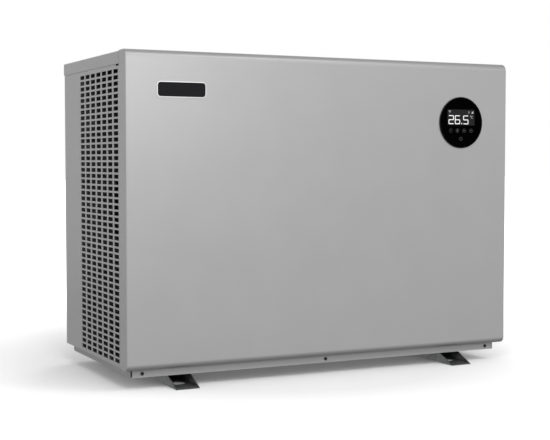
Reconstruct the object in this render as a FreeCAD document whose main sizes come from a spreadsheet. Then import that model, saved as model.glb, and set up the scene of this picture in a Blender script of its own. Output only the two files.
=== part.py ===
import FreeCAD, Part
import math
import os

import Sketcher
from FreeCAD import Placement, Rotation, Vector

# Pool heat pump in a sheet-metal cabinet.
# Frame: +X to the right seen from the front, -Y out of the front panel, +Z up.
# The origin is on the ground, at the centre of the four foot slots.

DIMENSIONS = [
    # cabinet
    ("cabinet_width", 1000, "front panel, side to side"),
    ("cabinet_depth", 460, "front face to rear face"),
    ("cabinet_top", 741.8, "ground to the flat of the cover"),
    ("sheet", 1.2, "thickness of every cabinet sheet"),
    ("bend_radius", 2.5, "outside radius of a folded edge"),
    ("seam_gap", 0.8, "visible gap between two panels"),
    ("fit_gap", 0.4, "clearance between sheets that slide together"),
    # feet and tray
    ("foot_height", 27.4, "ground to the underside of the tray"),
    ("foot_width", 56, "channel, outside"),
    ("foot_sheet", 2.5, "thickness of the foot channel"),
    ("foot_inset", 137.5, "side of the cabinet to the middle of a foot"),
    ("foot_overhang", 13, "foot tip beyond the front face"),
    ("foot_slope_run", 63, "length of the sloping end of a foot"),
    ("bolt_slot_inset", 51, "front face to the middle of the bolt slot"),
    ("bolt_slot_length", 34, "anchor hole, side to side"),
    ("bolt_slot_width", 30, "anchor hole, front to rear, under a plate washer"),
    ("tray_inset", 19.5, "tray side in from the cabinet side"),
    ("tray_front_inset", 22.3, "tray front in from the front face"),
    ("tray_notch", 12, "relief at the tray's front corners"),
    ("tray_screw_inset", 42.5, "cabinet side to the outer tray screws"),
    ("tray_screw_height", 36, "ground to the tray screws"),
    ("panel_bottom", 48, "ground to the side and rear panels"),
    ("drain_radius", 9.5, "condensate spigot, outside"),
    ("drain_length", 20, "condensate spigot below the tray"),
    ("drain_wall", 1.5, "condensate spigot"),
    ("drain_flange", 6, "flange beyond the condensate spigot"),
    # front panel
    ("front_bottom", 45, "ground to the front panel"),
    ("front_step", 1.9, "front panel stands above the cover"),
    ("front_return", 42, "front face to the seam in the side"),
    ("top_round", 17.5, "radius along the top"),
    ("bottom_round", 14, "radius along the bottom"),
    ("front_tab", 14, "tab behind the tray's front lip"),
    # cover
    ("cover_flange", 28, "height of the cover's side flange"),
    ("cover_notch", 24, "hand slot under the cover's front end"),
    ("cover_notch_height", 4, "height of that slot"),
    # side grille
    ("slot_columns", 7, "grille slots, front to rear"),
    ("slot_rows", 48, "grille slots, bottom to top"),
    ("slot_length", 31.3, "one slot, front to rear"),
    ("slot_height", 9.2, "one slot, up and down"),
    ("slot_pitch_length", 40.85, "column spacing"),
    ("slot_pitch_height", 13.57, "row spacing"),
    ("slot_first_inset", 67.8, "front face to the first column's middle"),
    ("slot_first_height", 61, "ground to the first row's middle"),
    # rear guard
    ("guard_columns", 8, "rear guard slots across"),
    ("guard_rows", 26, "rear guard slots up"),
    ("guard_slot_length", 62, "one slot, across"),
    ("guard_slot_height", 15, "one slot, up"),
    ("guard_pitch_length", 70, "column spacing"),
    ("guard_pitch_height", 25, "row spacing"),
    # display
    ("display_inset", 136.2, "right side of the cabinet to the display's middle"),
    ("display_height", 596.5, "ground to the display's middle"),
    ("display_radius", 62.5, "display bezel, outside"),
    ("bezel_width", 1.8, "bezel ring"),
    ("bezel_proud", 2.2, "bezel in front of the panel"),
    ("housing_depth", 26, "display housing behind the panel"),
    # name plate
    ("plate_length", 116, "blank name plate, across"),
    ("plate_height", 35.3, "blank name plate, up"),
    ("plate_inset", 71.5, "left side of the cabinet to the plate"),
    ("plate_bottom", 640.7, "ground to the plate"),
    ("plate_thick", 0.8, "blank name plate"),
    # air side
    ("bulkhead_inset", 360, "right side of the cabinet to the bulkhead"),
    ("orifice_inset", 330, "front face to the orifice plate"),
    ("fan_radius", 232, "blade tip circle"),
    ("tip_gap", 8, "blade tip to collar"),
    ("collar_length", 44, "orifice collar"),
    ("hub_radius", 55, "fan hub"),
    ("hub_length", 46, "fan hub"),
    ("blade_count", 4, "fan blades"),
    ("blade_thick", 3, "fan blade"),
    ("shaft_radius", 6, "fan motor shaft"),
    ("running_gap", 0.05, "radial clearance of a turning or sliding fit"),
    ("motor_radius", 70, "fan motor, outside"),
    ("motor_length", 72, "fan motor"),
    ("motor_wall", 6, "fan motor casing"),
    ("tube_radius", 4.76, "evaporator tube"),
    ("tube_rows", 26, "evaporator tubes, one above another"),
    ("tube_pitch", 25.4, "evaporator tube spacing, up"),
    ("tube_column_pitch", 22, "evaporator tube spacing, front to rear"),
    ("fin_depth", 44, "evaporator, front to rear"),
    ("fin_bottom", 46, "ground to the fins"),
    # compressor side
    ("compressor_radius", 65, "shell, outside"),
    ("compressor_height", 285, "shell"),
    ("shell_wall", 3.5, "compressor shell"),
    ("crank_radius", 8, "compressor crankshaft"),
    ("crank_throw", 5, "eccentric offset"),
    ("accumulator_radius", 30, "accumulator, outside"),
    ("accumulator_gap", 10, "between accumulator and compressor"),
    ("pipe_radius", 6, "refrigerant pipe"),
    ("exchanger_radius", 75, "water vessel, outside"),
    ("exchanger_height", 420, "water vessel"),
    ("exchanger_wall", 5, "water vessel"),
    ("water_low", 120, "ground to the lower water port"),
    ("water_spacing", 280, "between the two water ports"),
    ("water_outer_radius", 30, "water stub, outside"),
    ("water_bore", 20, "water stub, bore radius"),
    ("water_socket", 25.15, "socket radius for a 50 mm pipe"),
    ("socket_depth", 30, "pipe socket"),
    ("water_reach", 46, "water stub beyond the side panel"),
    ("valve_radius", 14, "reversing valve, outside"),
    ("valve_bore", 11, "reversing valve, bore radius"),
    ("valve_length", 120, "reversing valve"),
    ("spool_length", 62, "reversing valve slide"),
    ("gland_radius", 12, "cable gland, outside"),
    ("gland_bore", 6.5, "cable gland, bore radius"),
]

DERIVED = [
    ("side", "size.cabinet_width / 2"),
    ("front", "-size.cabinet_depth / 2"),
    ("rear", "size.cabinet_depth / 2"),
    ("seam", "at.front + size.front_return"),
    ("panel_face", "at.side - 1"),
    ("panel_inner", "at.panel_face - size.sheet"),
    ("cover_face", "at.panel_face + size.sheet + 0.2"),
    ("cover_low", "size.cabinet_top - size.cover_flange"),
    ("front_top", "size.cabinet_top + size.front_step"),
    ("panel_top", "size.cabinet_top - size.sheet - size.fit_gap"),
    ("rear_inner", "at.rear - size.sheet"),
    ("floor", "size.foot_height + size.sheet"),
    ("tray_side", "at.side - size.tray_inset"),
    ("tray_front", "at.front + size.tray_front_inset"),
    ("foot", "at.side - size.foot_inset"),
    ("bolt", "-at.front - size.bolt_slot_inset"),
    ("bulkhead", "at.side - size.bulkhead_inset"),
    ("orifice", "at.front + size.orifice_inset"),
    ("fan_x", "(at.bulkhead - at.panel_inner) / 2"),
    ("fan_z", "(at.floor + at.panel_top) / 2"),
    ("collar_radius", "size.fan_radius + size.tip_gap"),
    ("hub_front", "at.orifice + (size.collar_length - size.hub_length) / 2"),
    ("hub_rear", "at.hub_front + size.hub_length"),
    ("motor_rear", "at.hub_front - 12"),
    ("motor_front", "at.motor_rear - size.motor_length"),
    ("fin_front", "at.rear_inner - 20 - size.fin_depth"),
    ("fin_left", "-at.panel_inner + 28"),
    ("fin_right", "at.bulkhead - 30"),
    ("fin_top", "size.fin_bottom + size.tube_rows * size.tube_pitch"),
    ("tube_low", "size.fin_bottom + size.tube_pitch / 2"),
    ("tube_front", "at.fin_front + (size.fin_depth - size.tube_column_pitch) / 2"),
    ("tube_rear", "at.tube_front + size.tube_column_pitch"),
    ("tube_end", "at.bulkhead + 14"),
    ("display_x", "at.side - size.display_inset"),
    ("accumulator_x", "at.bulkhead + 15 + size.accumulator_radius"),
    ("accumulator_right", "at.accumulator_x + size.accumulator_radius"),
    ("compressor_x", "at.accumulator_right + size.accumulator_gap + size.compressor_radius"),
    ("compressor_y", "100"),
    ("compressor_low", "at.floor + 26"),
    ("compressor_high", "at.compressor_low + size.compressor_height"),
    ("accumulator_high", "at.compressor_high - 30"),
    ("exchanger_x", "at.panel_inner - 138"),
    ("exchanger_y", "at.front + 115"),
    ("exchanger_low", "at.floor + 10"),
    ("exchanger_high", "at.exchanger_low + size.exchanger_height"),
    ("water_inner", "at.exchanger_x + size.exchanger_radius - 9"),
    ("water_outer", "at.panel_face + size.water_reach"),
    ("water_high", "size.water_low + size.water_spacing"),
    ("switch_x", "at.panel_inner - 30"),
    ("valve_x", "at.compressor_x"),
    ("valve_y", "at.compressor_y - 80"),
    ("valve_z", "at.compressor_high + 100"),
    ("box_low", "at.exchanger_high + 72"),
    ("box_high", "at.panel_top - 12"),
    ("box_left", "at.bulkhead + 12"),
    ("box_right", "at.panel_inner - 10"),
    ("box_front", "at.front + size.housing_depth + 12"),
    ("box_rear", "at.front + 210"),
    ("gland_y", "at.front + 105"),
    ("gland_z", "at.box_low + 35"),
]

doc = FreeCAD.newDocument("heat_pump")
sheet = doc.addObject("Spreadsheet::Sheet", "size")
places = doc.addObject("App::VarSet", "at")
nodes = {}


def fill_sheet():
    for row, (alias, length, note) in enumerate(DIMENSIONS, start=1):
        sheet.set(f"A{row}", note)
        sheet.set(f"B{row}", str(length))
        sheet.setAlias(f"B{row}", alias)
    doc.recompute()
    for name, expression in DERIVED:
        places.addProperty("App::PropertyFloat", name)
        places.setExpression(name, expression)
        doc.recompute()


def number(expression):
    return float(places.evalExpression(expression))


def node(item, label):
    item.Label = label
    nodes[label] = item
    return item


# ---- primitives -------------------------------------------------------------

AXIS_TURN = {
    "X": Rotation(Vector(0, 1, 0), 90),
    "Y": Rotation(Vector(1, 0, 0), -90),
    "Z": Rotation(),
}


def bind_base(item, base):
    for axis, expression in zip("xyz", base):
        item.setExpression(f"Placement.Base.{axis}", expression)


def box(name, low, high):
    item = doc.addObject("Part::Box", name)
    for side, start, end in zip(("Length", "Width", "Height"), low, high):
        item.setExpression(side, f"({end}) - ({start})")
    bind_base(item, low)
    return item


def cylinder(name, axis, centre, radius, low, high):
    item = doc.addObject("Part::Cylinder", name)
    item.Placement = Placement(Vector(), AXIS_TURN[axis])
    item.setExpression("Radius", radius)
    item.setExpression("Height", f"({high}) - ({low})")
    first, second = centre
    base = {"X": (low, first, second), "Y": (first, low, second), "Z": (first, second, low)}[axis]
    bind_base(item, base)
    return item


def fuse(name, *items):
    item = doc.addObject("Part::MultiFuse", name)
    item.Shapes = list(items)
    item.Refine = True
    return item


def cut(name, base, *tools):
    item = doc.addObject("Part::Cut", name)
    item.Base = base
    item.Tool = tools[0] if len(tools) == 1 else fuse(name + "_tools", *tools)
    return item


def group(name, items):
    item = doc.addObject("Part::Compound", name)
    item.Links = items
    return item


def round_edges(name, base, radius, chosen):
    doc.recompute()
    item = doc.addObject("Part::Fillet", name)
    item.Base = base
    size = number(radius)
    edges = enumerate(base.Shape.Edges, start=1)
    item.Edges = [(index, size, size) for index, edge in edges if chosen(edge)]
    return item


def tube_path(points, bend):
    """Straight runs joined by tangent arcs of one bend radius."""
    corners = [Vector(*(number(value) for value in point)) for point in points]
    edges = []
    start = corners[0]
    for before, corner, after in zip(corners, corners[1:], corners[2:]):
        inward = (before - corner).normalize()
        outward = (after - corner).normalize()
        turn = math.pi - inward.getAngle(outward)
        reach = bend * math.tan(turn / 2)
        middle = (inward + outward).normalize()
        first = corner + inward * reach
        last = corner + outward * reach
        crown = corner + middle * (bend / math.cos(turn / 2) - bend)
        edges.append(Part.LineSegment(start, first).toShape())
        edges.append(Part.Arc(first, crown, last).toShape())
        start = last
    edges.append(Part.LineSegment(start, corners[-1]).toShape())
    return Part.Wire(edges)


def swept(path, radius):
    start = path.Edges[0]
    circle = Part.Circle(start.Vertexes[0].Point, start.tangentAt(start.FirstParameter), radius)
    return path.makePipeShell([Part.Wire([circle.toShape()])], True, False)


def pipe(name, points, bend):
    item = doc.addObject("Part::Feature", name)
    item.Shape = swept(tube_path(points, bend), number("size.pipe_radius"))
    return item


# ---- bodies made from sketches ----------------------------------------------

def new_body(name):
    return doc.addObject("PartDesign::Body", name)


def new_sketch(body, name, role, offset):
    item = body.newObject("Sketcher::SketchObject", name)
    plane = [feature for feature in body.Origin.OriginFeatures if feature.Role == role][0]
    item.AttachmentSupport = (plane, "")
    item.MapMode = "FlatFace"
    item.setExpression(".AttachmentOffset.Base.z", offset)
    return item


def place_point(item, geometry, end, point):
    for kind, expression in zip(("DistanceX", "DistanceY"), point):
        rule = Sketcher.Constraint(kind, -1, 1, geometry, end, number(expression))
        index = item.addConstraint(rule)
        item.setExpression(f"Constraints[{index}]", expression)


def outline(item, points):
    """Closed polygon with every corner dimensioned from the sketch origin."""
    corners = [Vector(number(first), number(second), 0) for first, second in points]
    start = item.GeometryCount
    count = len(corners)
    for index in range(count):
        item.addGeometry(Part.LineSegment(corners[index], corners[(index + 1) % count]))
    for index in range(count):
        rule = Sketcher.Constraint("Coincident", start + index, 2, start + (index + 1) % count, 1)
        item.addConstraint(rule)
        place_point(item, start + index, 1, points[index])


def rectangle(item, low, high):
    outline(item, [low, (high[0], low[1]), high, (low[0], high[1])])


def circle(item, centre, radius):
    middle = Vector(number(centre[0]), number(centre[1]), 0)
    index = item.addGeometry(Part.Circle(middle, Vector(0, 0, 1), number(radius)))
    place_point(item, index, 3, centre)
    rule = item.addConstraint(Sketcher.Constraint("Radius", index, number(radius)))
    item.setExpression(f"Constraints[{rule}]", radius)


def pad(body, name, sketch, length):
    item = body.newObject("PartDesign::Pad", name)
    item.Profile = sketch
    item.setExpression("Length", length)
    return item


def pocket(body, name, sketch):
    """Cut right through, both ways from the sketch."""
    doc.recompute()
    before = body.Shape.Volume
    item = body.newObject("PartDesign::Pocket", name)
    item.Profile = sketch
    item.Type = "ThroughAll"
    item.Midplane = True
    doc.recompute()
    if body.Shape.Volume > before - 1e-3:
        raise RuntimeError(f"{name} cuts nothing")
    return item


def fillet(body, name, base, radius, chosen):
    doc.recompute()
    edges = enumerate(base.Shape.Edges, start=1)
    names = [f"Edge{index}" for index, edge in edges if chosen(edge)]
    item = body.newObject("PartDesign::Fillet", name)
    item.Base = (base, names)
    item.setExpression("Radius", radius)
    return item


def slab(body, name, role, offset, low, high, length):
    """Rectangular pad: a flat sheet on one of the origin planes."""
    sketch = new_sketch(body, name + "_sketch", role, offset)
    rectangle(sketch, low, high)
    return pad(body, name, sketch, length)


def along(edge, direction):
    if len(edge.Vertexes) < 2 or not isinstance(edge.Curve, Part.Line):
        return False
    run = edge.Vertexes[1].Point - edge.Vertexes[0].Point
    return run.cross(direction).Length < 1e-6


def near(value, expression, slack=0.01):
    return abs(value - number(expression)) < slack


def slot_grid(body, first, across, rise):
    """Repeat one pocket in columns and rows over a flat sheet."""
    before = body.Shape.Volume
    item = body.newObject("PartDesign::MultiTransform", body.Name + "_slots")
    item.Originals = [first]
    item.Transformations = []
    steps = []
    for name, axis, count, pitch in (("across", "H_Axis", *across), ("rise", "V_Axis", *rise)):
        step = body.newObject("PartDesign::LinearPattern", f"{body.Name}_{name}")
        step.Direction = (first.Profile[0], [axis])
        step.setExpression("Length", f"{pitch} * ({count} - 1)")
        step.setExpression("Occurrences", count)
        steps.append(step)
    item.Transformations = steps
    body.Tip = item
    doc.recompute()
    if body.Shape.Volume > before - 1e-3:
        raise RuntimeError(f"{body.Name} slots cut nothing")


# ---- fasteners --------------------------------------------------------------

def screw(name, axis, centre, face, outward, shank_length, head_radius, shank_radius):
    """Pan-head screw: head outside the face, shank through it."""
    head = 2.2
    if outward < 0:
        head_span = (f"{face} - {head}", face)
        shank_span = (face, f"{face} + {shank_length}")
    else:
        head_span = (face, f"{face} + {head}")
        shank_span = (f"{face} - {shank_length}", face)
    cap = cylinder(name + "_head", axis, centre, str(head_radius), *head_span)
    rod = cylinder(name + "_shank", axis, centre, str(shank_radius), *shank_span)
    return fuse(name, cap, rod)


# ---- feet and tray ----------------------------------------------------------

def foot(label, side):
    body = new_body(label)
    middle = f"{side} * at.foot"
    tip = "-at.front + size.foot_overhang"
    top = f"{tip} - size.foot_slope_run"
    web = new_sketch(body, label + "_side", "YZ_Plane", f"{middle} - size.foot_width / 2")
    outline(web, [
        (f"-({tip})", "0"), (tip, "0"),
        (top, "size.foot_height"), (f"-({top})", "size.foot_height"),
    ])
    pad(body, label + "_block", web, "size.foot_width")
    inside = new_sketch(body, label + "_inside", "XZ_Plane", "0")
    rectangle(inside,
              (f"{middle} - size.foot_width / 2 + size.foot_sheet", "size.foot_sheet"),
              (f"{middle} + size.foot_width / 2 - size.foot_sheet", "size.foot_height + 1"))
    pocket(body, label + "_channel", inside)
    channel = node(body, label)
    tools = []
    reach = "(size.bolt_slot_length - size.bolt_slot_width) / 2"
    radius = "size.bolt_slot_width / 2"
    for end in (-1, 1):
        row = f"{end} * at.bolt"
        for hand in (-1, 1):
            tools.append(cylinder(f"{label}_slot_end", "Z", (f"{middle} + {hand} * {reach}", row),
                                  radius, "-1", "size.foot_sheet + 1"))
        tools.append(box(f"{label}_slot", (f"{middle} - {reach}", f"{row} - {radius}", "-1"),
                         (f"{middle} + {reach}", f"{row} + {radius}", "size.foot_sheet + 1")))
        tools.append(cylinder(f"{label}_tip_hole", "Z",
                              (middle, f"{end} * (-at.front + size.foot_overhang - 14)"),
                              "2.5", "-1", "size.foot_sheet + 1"))
    channel.Label = label + "_channel_body"
    return node(cut(label + "_slotted", channel, *tools), label)


def base_tray():
    body = new_body("tray")
    slab(body, "tray_floor", "XY_Plane", "size.foot_height",
         ("-at.tray_side", "at.tray_front"), ("at.tray_side", "at.rear"), "size.sheet")
    slab(body, "tray_front_lip", "XZ_Plane", "-(at.tray_front + size.sheet)",
         ("-at.tray_side", "size.foot_height"), ("at.tray_side", "size.front_bottom"), "size.sheet")
    slab(body, "tray_rear_lip", "XZ_Plane", "-at.rear",
         ("-at.tray_side", "size.foot_height"), ("at.tray_side", "size.panel_bottom"), "size.sheet")
    for name, offset in (("left", "-at.tray_side"), ("right", "at.tray_side - size.sheet")):
        slab(body, f"tray_{name}_lip", "YZ_Plane", offset,
             ("at.tray_front + size.tray_notch", "size.foot_height"), ("at.rear", "size.panel_bottom"),
             "size.sheet")
    tools = [cylinder("tray_screw_hole", "Y", (position, "size.tray_screw_height"), "2",
                      "at.tray_front - 1", "at.tray_front + size.sheet + 1")
             for position in tray_screw_positions()]
    tools.append(cylinder("tray_drain_hole", "Z", ("at.fan_x", "0"), "size.drain_radius",
                          "size.foot_height - 1", "at.floor + 1"))
    return node(cut("tray_pierced", body, *tools), "base_tray")


def tray_screw_positions():
    outer = "(at.side - size.tray_screw_inset)"
    return [f"-{outer}", "0", outer]


def tray_screws():
    items = [screw("tray_screw", "Y", (position, "size.tray_screw_height"), "at.tray_front", -1, 9, 4, 2)
             for position in tray_screw_positions()]
    return node(group("tray_screw_group", items), "tray_screws")


def drain_spigot():
    centre = ("at.fan_x", "0")
    low = "size.foot_height - size.drain_length"
    spout = cylinder("drain_spout", "Z", centre, "size.drain_radius", low, "at.floor")
    flange = cylinder("drain_flange", "Z", centre, "size.drain_radius + size.drain_flange",
                      "size.foot_height - size.drain_wall", "size.foot_height")
    bore = cylinder("drain_bore", "Z", centre, "size.drain_radius - size.drain_wall", f"{low} - 1",
                    "at.floor + 1")
    return node(cut("drain_cut", fuse("drain_solid", spout, flange), bore), "drain_spigot")


# ---- cabinet ----------------------------------------------------------------

def front_panel():
    """Folded sheet: face, rounded top and bottom, top strip, bottom strip with its tab, two cheeks."""
    body = new_body("front_sheet")
    strip_rear = "at.seam + size.seam_gap - size.fit_gap"
    tab = "at.tray_front + size.sheet + size.fit_gap"
    skin = new_sketch(body, "front_profile", "YZ_Plane", "-at.side")
    outline(skin, [
        ("at.front", "size.front_bottom"), ("at.front", "at.front_top"), (strip_rear, "at.front_top"),
        (strip_rear, "at.front_top - size.sheet"), ("at.front + size.sheet", "at.front_top - size.sheet"),
        ("at.front + size.sheet", "size.front_bottom + size.sheet"),
        (f"{tab} + size.sheet", "size.front_bottom + size.sheet"), (f"{tab} + size.sheet", "size.front_bottom"),
    ])
    pad(body, "front_skin", skin, "size.cabinet_width")
    tab_end = "(at.tray_side - size.sheet - size.fit_gap)"
    slab(body, "front_hook", "XZ_Plane", f"-({tab} + size.sheet)",
         (f"-{tab_end}", "size.front_bottom - size.front_tab"), (tab_end, "size.front_bottom + size.sheet"),
         "size.sheet")
    for name, offset in (("left", "-at.side"), ("right", "at.side - size.sheet")):
        cheek = new_sketch(body, f"front_cheek_{name}", "YZ_Plane", offset)
        outline(cheek, [
            ("at.front", "size.front_bottom"), ("at.front", "at.front_top"), (strip_rear, "at.front_top"),
            (strip_rear, "at.cover_low - 1"), ("at.seam", "at.cover_low - 1"),
            ("at.seam", "size.panel_bottom"), ("at.seam - 8", "size.front_bottom"),
        ])
        last = pad(body, f"front_return_{name}", cheek, "size.sheet")

    def fold(depth, height):
        def chosen(edge):
            point = edge.CenterOfMass
            return along(edge, Vector(1, 0, 0)) and near(point.y, depth) and near(point.z, height)
        return chosen

    inside = "at.front + size.sheet"
    last = fillet(body, "front_top_inside", last, "size.top_round - size.sheet",
                  fold(inside, "at.front_top - size.sheet"))
    last = fillet(body, "front_bottom_inside", last, "size.bottom_round - size.sheet",
                  fold(inside, "size.front_bottom + size.sheet"))
    last = fillet(body, "front_top_fold", last, "size.top_round", fold("at.front", "at.front_top"))
    last = fillet(body, "front_bottom_fold", last, "size.bottom_round", fold("at.front", "size.front_bottom"))

    def corner_edge(edge):
        point = edge.CenterOfMass
        return (along(edge, Vector(0, 0, 1)) and near(point.y, "at.front")
                and near(abs(point.x), "at.side") and edge.Length > 100)

    fillet(body, "front_corner_bends", last, "size.bend_radius", corner_edge)
    hole = new_sketch(body, "display_hole", "XZ_Plane", "-at.front")
    circle(hole, ("at.display_x", "size.display_height"), "size.display_radius - 5")
    cutout = body.newObject("PartDesign::Pocket", "display_opening")
    cutout.Profile = hole
    cutout.Midplane = True
    cutout.Length = 10
    tools = [cylinder("front_screw_hole", "Y", (position, "size.tray_screw_height"), "2",
                      "at.tray_front + size.sheet", "at.tray_front + 10")
             for position in tray_screw_positions()]
    return node(cut("front_pierced", body, *tools), "front_panel")


def side_sheet(name, side):
    """One side: a tall sheet with a rear flange and a bottom flange."""
    body = new_body(name)
    start = "at.seam + size.seam_gap"
    plan = new_sketch(body, name + "_plan", "XY_Plane", "size.panel_bottom")
    face = f"{side} * at.panel_face"
    inner = f"{side} * at.panel_inner"
    lap = f"{side} * (at.panel_face - 22)"
    outline(plan, [
        (face, start), (face, "at.rear_inner"), (lap, "at.rear_inner"),
        (lap, "at.rear_inner - size.sheet"), (inner, "at.rear_inner - size.sheet"), (inner, start),
    ])
    pad(body, name + "_upright", plan, "at.panel_top - size.panel_bottom")
    foot_low = (inner if side > 0 else lap, start)
    foot_high = (lap if side > 0 else inner, "at.rear_inner")
    slab(body, name + "_foot", "XY_Plane", "size.panel_bottom", foot_low, foot_high, "size.sheet")
    if side < 0:
        notch = new_sketch(body, name + "_notch", "YZ_Plane", "0")
        rectangle(notch, (start, "at.cover_low - size.cover_notch_height"),
                  (f"{start} + size.cover_notch", "at.panel_top + 1"))
        pocket(body, name + "_hand_slot", notch)
    return body


def left_side_panel():
    body = side_sheet("left_side", -1)
    slot = new_sketch(body, "left_slot", "YZ_Plane", "-at.panel_face")
    middle = ("at.front + size.slot_first_inset", "size.slot_first_height")
    half = ("size.slot_length / 2", "size.slot_height / 2")
    rectangle(slot, tuple(f"{m} - {s}" for m, s in zip(middle, half)),
              tuple(f"{m} + {s}" for m, s in zip(middle, half)))
    first = body.newObject("PartDesign::Pocket", "left_first_slot")
    first.Profile = slot
    first.Midplane = True
    first.Length = 8
    doc.recompute()
    slot_grid(body, first, ("size.slot_columns", "size.slot_pitch_length"),
              ("size.slot_rows", "size.slot_pitch_height"))
    return node(body, "left_side_panel")


def right_side_panel():
    body = side_sheet("right_side", 1)
    span = ("at.panel_inner - 1", "at.panel_face + 1")
    tools = [cylinder("water_hole", "X", ("at.exchanger_y", height),
                      "size.water_outer_radius + size.fit_gap", *span)
             for height in ("size.water_low", "at.water_high")]
    tools.append(cylinder("gland_hole", "X", ("at.gland_y", "at.gland_z"), "size.gland_bore + 2", *span))
    return node(cut("right_side_pierced", body, *tools), "right_side_panel")


def rear_guard():
    body = new_body("guard_sheet")
    slab(body, "guard_plate", "XZ_Plane", "-at.rear", ("-at.panel_face", "size.panel_bottom"),
         ("at.bulkhead - size.seam_gap", "at.panel_top"), "size.sheet")
    slot = new_sketch(body, "guard_slot", "XZ_Plane", "-at.rear")
    span = "(size.guard_columns - 1) * size.guard_pitch_length + size.guard_slot_length"
    rise = "(size.guard_rows - 1) * size.guard_pitch_height + size.guard_slot_height"
    left = f"at.fan_x - ({span}) / 2"
    low = f"(size.panel_bottom + at.cover_low) / 2 - ({rise}) / 2"
    rectangle(slot, (left, low), (f"{left} + size.guard_slot_length", f"{low} + size.guard_slot_height"))
    first = body.newObject("PartDesign::Pocket", "guard_first_slot")
    first.Profile = slot
    first.Midplane = True
    first.Length = 8
    doc.recompute()
    slot_grid(body, first, ("size.guard_columns", "size.guard_pitch_length"),
              ("size.guard_rows", "size.guard_pitch_height"))
    return node(body, "rear_guard")


def rear_panel():
    body = new_body("rear_sheet")
    slab(body, "rear_plate", "XZ_Plane", "-at.rear", ("at.bulkhead", "size.panel_bottom"),
         ("at.panel_face", "at.panel_top"), "size.sheet")
    return node(body, "rear_panel")


def top_cover():
    body = new_body("cover_sheet")
    start = "at.seam + size.seam_gap"
    lid = slab(body, "cover_block", "XY_Plane", "at.cover_low",
               ("-at.cover_face", start), ("at.cover_face", "at.rear + 0.2 + size.sheet"),
               "size.cover_flange")

    def top_edge(edge):
        point = edge.CenterOfMass
        return near(point.z, "size.cabinet_top") and point.y > number(start) + 1

    fillet(body, "cover_bends", lid, "size.bend_radius", top_edge)
    hollow = box("cover_hollow", ("-at.cover_face + size.sheet", f"{start} - 1", "at.cover_low - 1"),
                 ("at.cover_face - size.sheet", "at.rear + 0.2", "size.cabinet_top - size.sheet"))
    shell = cut("cover_shell", body, hollow)
    tongue = box("cover_tongue", ("-at.side + 4", "at.seam - 16", "size.cabinet_top - size.sheet"),
                 ("at.side - 4", f"{start} + 4", "size.cabinet_top"))
    return node(fuse("cover_whole", shell, tongue), "top_cover")


def bulkhead():
    body = new_body("bulkhead_sheet")
    plan = new_sketch(body, "bulkhead_plan", "XY_Plane", "at.floor")
    start = "at.tray_front + size.sheet * 2 + size.fit_gap * 2"
    end = "at.rear_inner - size.sheet"
    face = "at.bulkhead + size.sheet"
    outline(plan, [
        ("at.bulkhead", start), (face, start), (face, f"{end} - size.sheet"),
        (f"{face} + 18", f"{end} - size.sheet"), (f"{face} + 18", end), ("at.bulkhead", end),
    ])
    pad(body, "bulkhead_upright", plan, "at.panel_top - at.floor - 2")
    slab(body, "bulkhead_nose", "YZ_Plane", "at.bulkhead",
         ("at.front + size.sheet + size.fit_gap", "size.front_bottom + size.bottom_round"),
         (start, "at.front_top - size.top_round - 6"), "size.sheet")
    tools = [cylinder("tube_hole", "X", (column, "at.tube_low"), "size.pipe_radius + 2",
                      "at.bulkhead - 1", "at.bulkhead + size.sheet + 1")
             for column in ("at.tube_front", "at.tube_rear")]
    return node(cut("bulkhead_pierced", body, *tools), "bulkhead")


def corner_post(label, side):
    body = new_body(label + "_sheet")
    plan = new_sketch(body, label + "_plan", "XY_Plane", "at.floor")
    outer = f"{side} * at.panel_inner"
    inner = f"{side} * (at.panel_inner - size.sheet)"
    lap = f"{side} * (at.panel_inner - 24)"
    start = "at.front + size.sheet"
    outline(plan, [
        (outer, start), (outer, "at.seam + 9"), (inner, "at.seam + 9"),
        (inner, f"{start} + size.sheet"), (lap, f"{start} + size.sheet"), (lap, start),
    ])
    pad(body, label + "_angle", plan, "at.front_top - size.top_round - at.floor - 12")
    trim = box(label + "_trim", (f"{side} * at.side - 40", "at.front", "at.floor - 1"),
               (f"{side} * at.side + 40", "at.tray_front + 8", "size.front_bottom + 16"))
    floor_trim = box(label + "_tray_trim",
                     (f"{side} * at.side - 60", "at.front", "at.floor - 1"),
                     (f"{side} * at.side + 60", "at.seam + 40", "size.panel_bottom + size.sheet"))
    return cut(label + "_trimmed", body, trim, floor_trim)


def cover_screws():
    """Screws through the cover's rear flange and the rear sheets' upright edges."""
    items = []
    for position in ("-at.panel_face + 12", "at.fan_x", "at.bulkhead + 12", "at.panel_face - 12"):
        items.append(screw("cover_screw", "Y", (position, "at.cover_low + 10"),
                           "at.rear + 0.2 + size.sheet", 1, 6, 4, 2))
    return items


def rear_screws():
    items = []
    for height in ("size.panel_bottom + 40", "(size.panel_bottom + at.cover_low) / 2",
                   "at.cover_low - 40"):
        for position in ("-at.panel_face + 11", "at.bulkhead + 11", "at.panel_face - 11"):
            items.append(screw("rear_screw", "Y", (position, height), "at.rear", 1, 6, 4, 2))
    return items


def panel_screws():
    return node(group("panel_screw_group", cover_screws() + rear_screws()), "panel_screws")


def pierce_rear():
    """Holes for the rear screws in every sheet they pass through."""
    holes = []
    for index, item in enumerate(cover_screws() + rear_screws()):
        holes.append(item)
    tool = group("rear_screw_holes", holes)
    for label in ("rear_guard", "rear_panel", "left_side_panel", "right_side_panel", "bulkhead",
                  "top_cover"):
        whole = nodes[label]
        whole.Label = label + "_unpierced"
        pierced = cut(label + "_screw_cut", whole, tool)
        node(pierced, label)


def name_plate():
    low = ("-at.side + size.plate_inset", "at.front - size.plate_thick", "size.plate_bottom")
    high = ("-at.side + size.plate_inset + size.plate_length", "at.front",
            "size.plate_bottom + size.plate_height")
    blank = box("plate_blank", low, high)
    rounded = round_edges("plate_round", blank, "3", lambda edge: along(edge, Vector(0, 1, 0)))
    return node(rounded, "name_plate")


# ---- display ----------------------------------------------------------------

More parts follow.
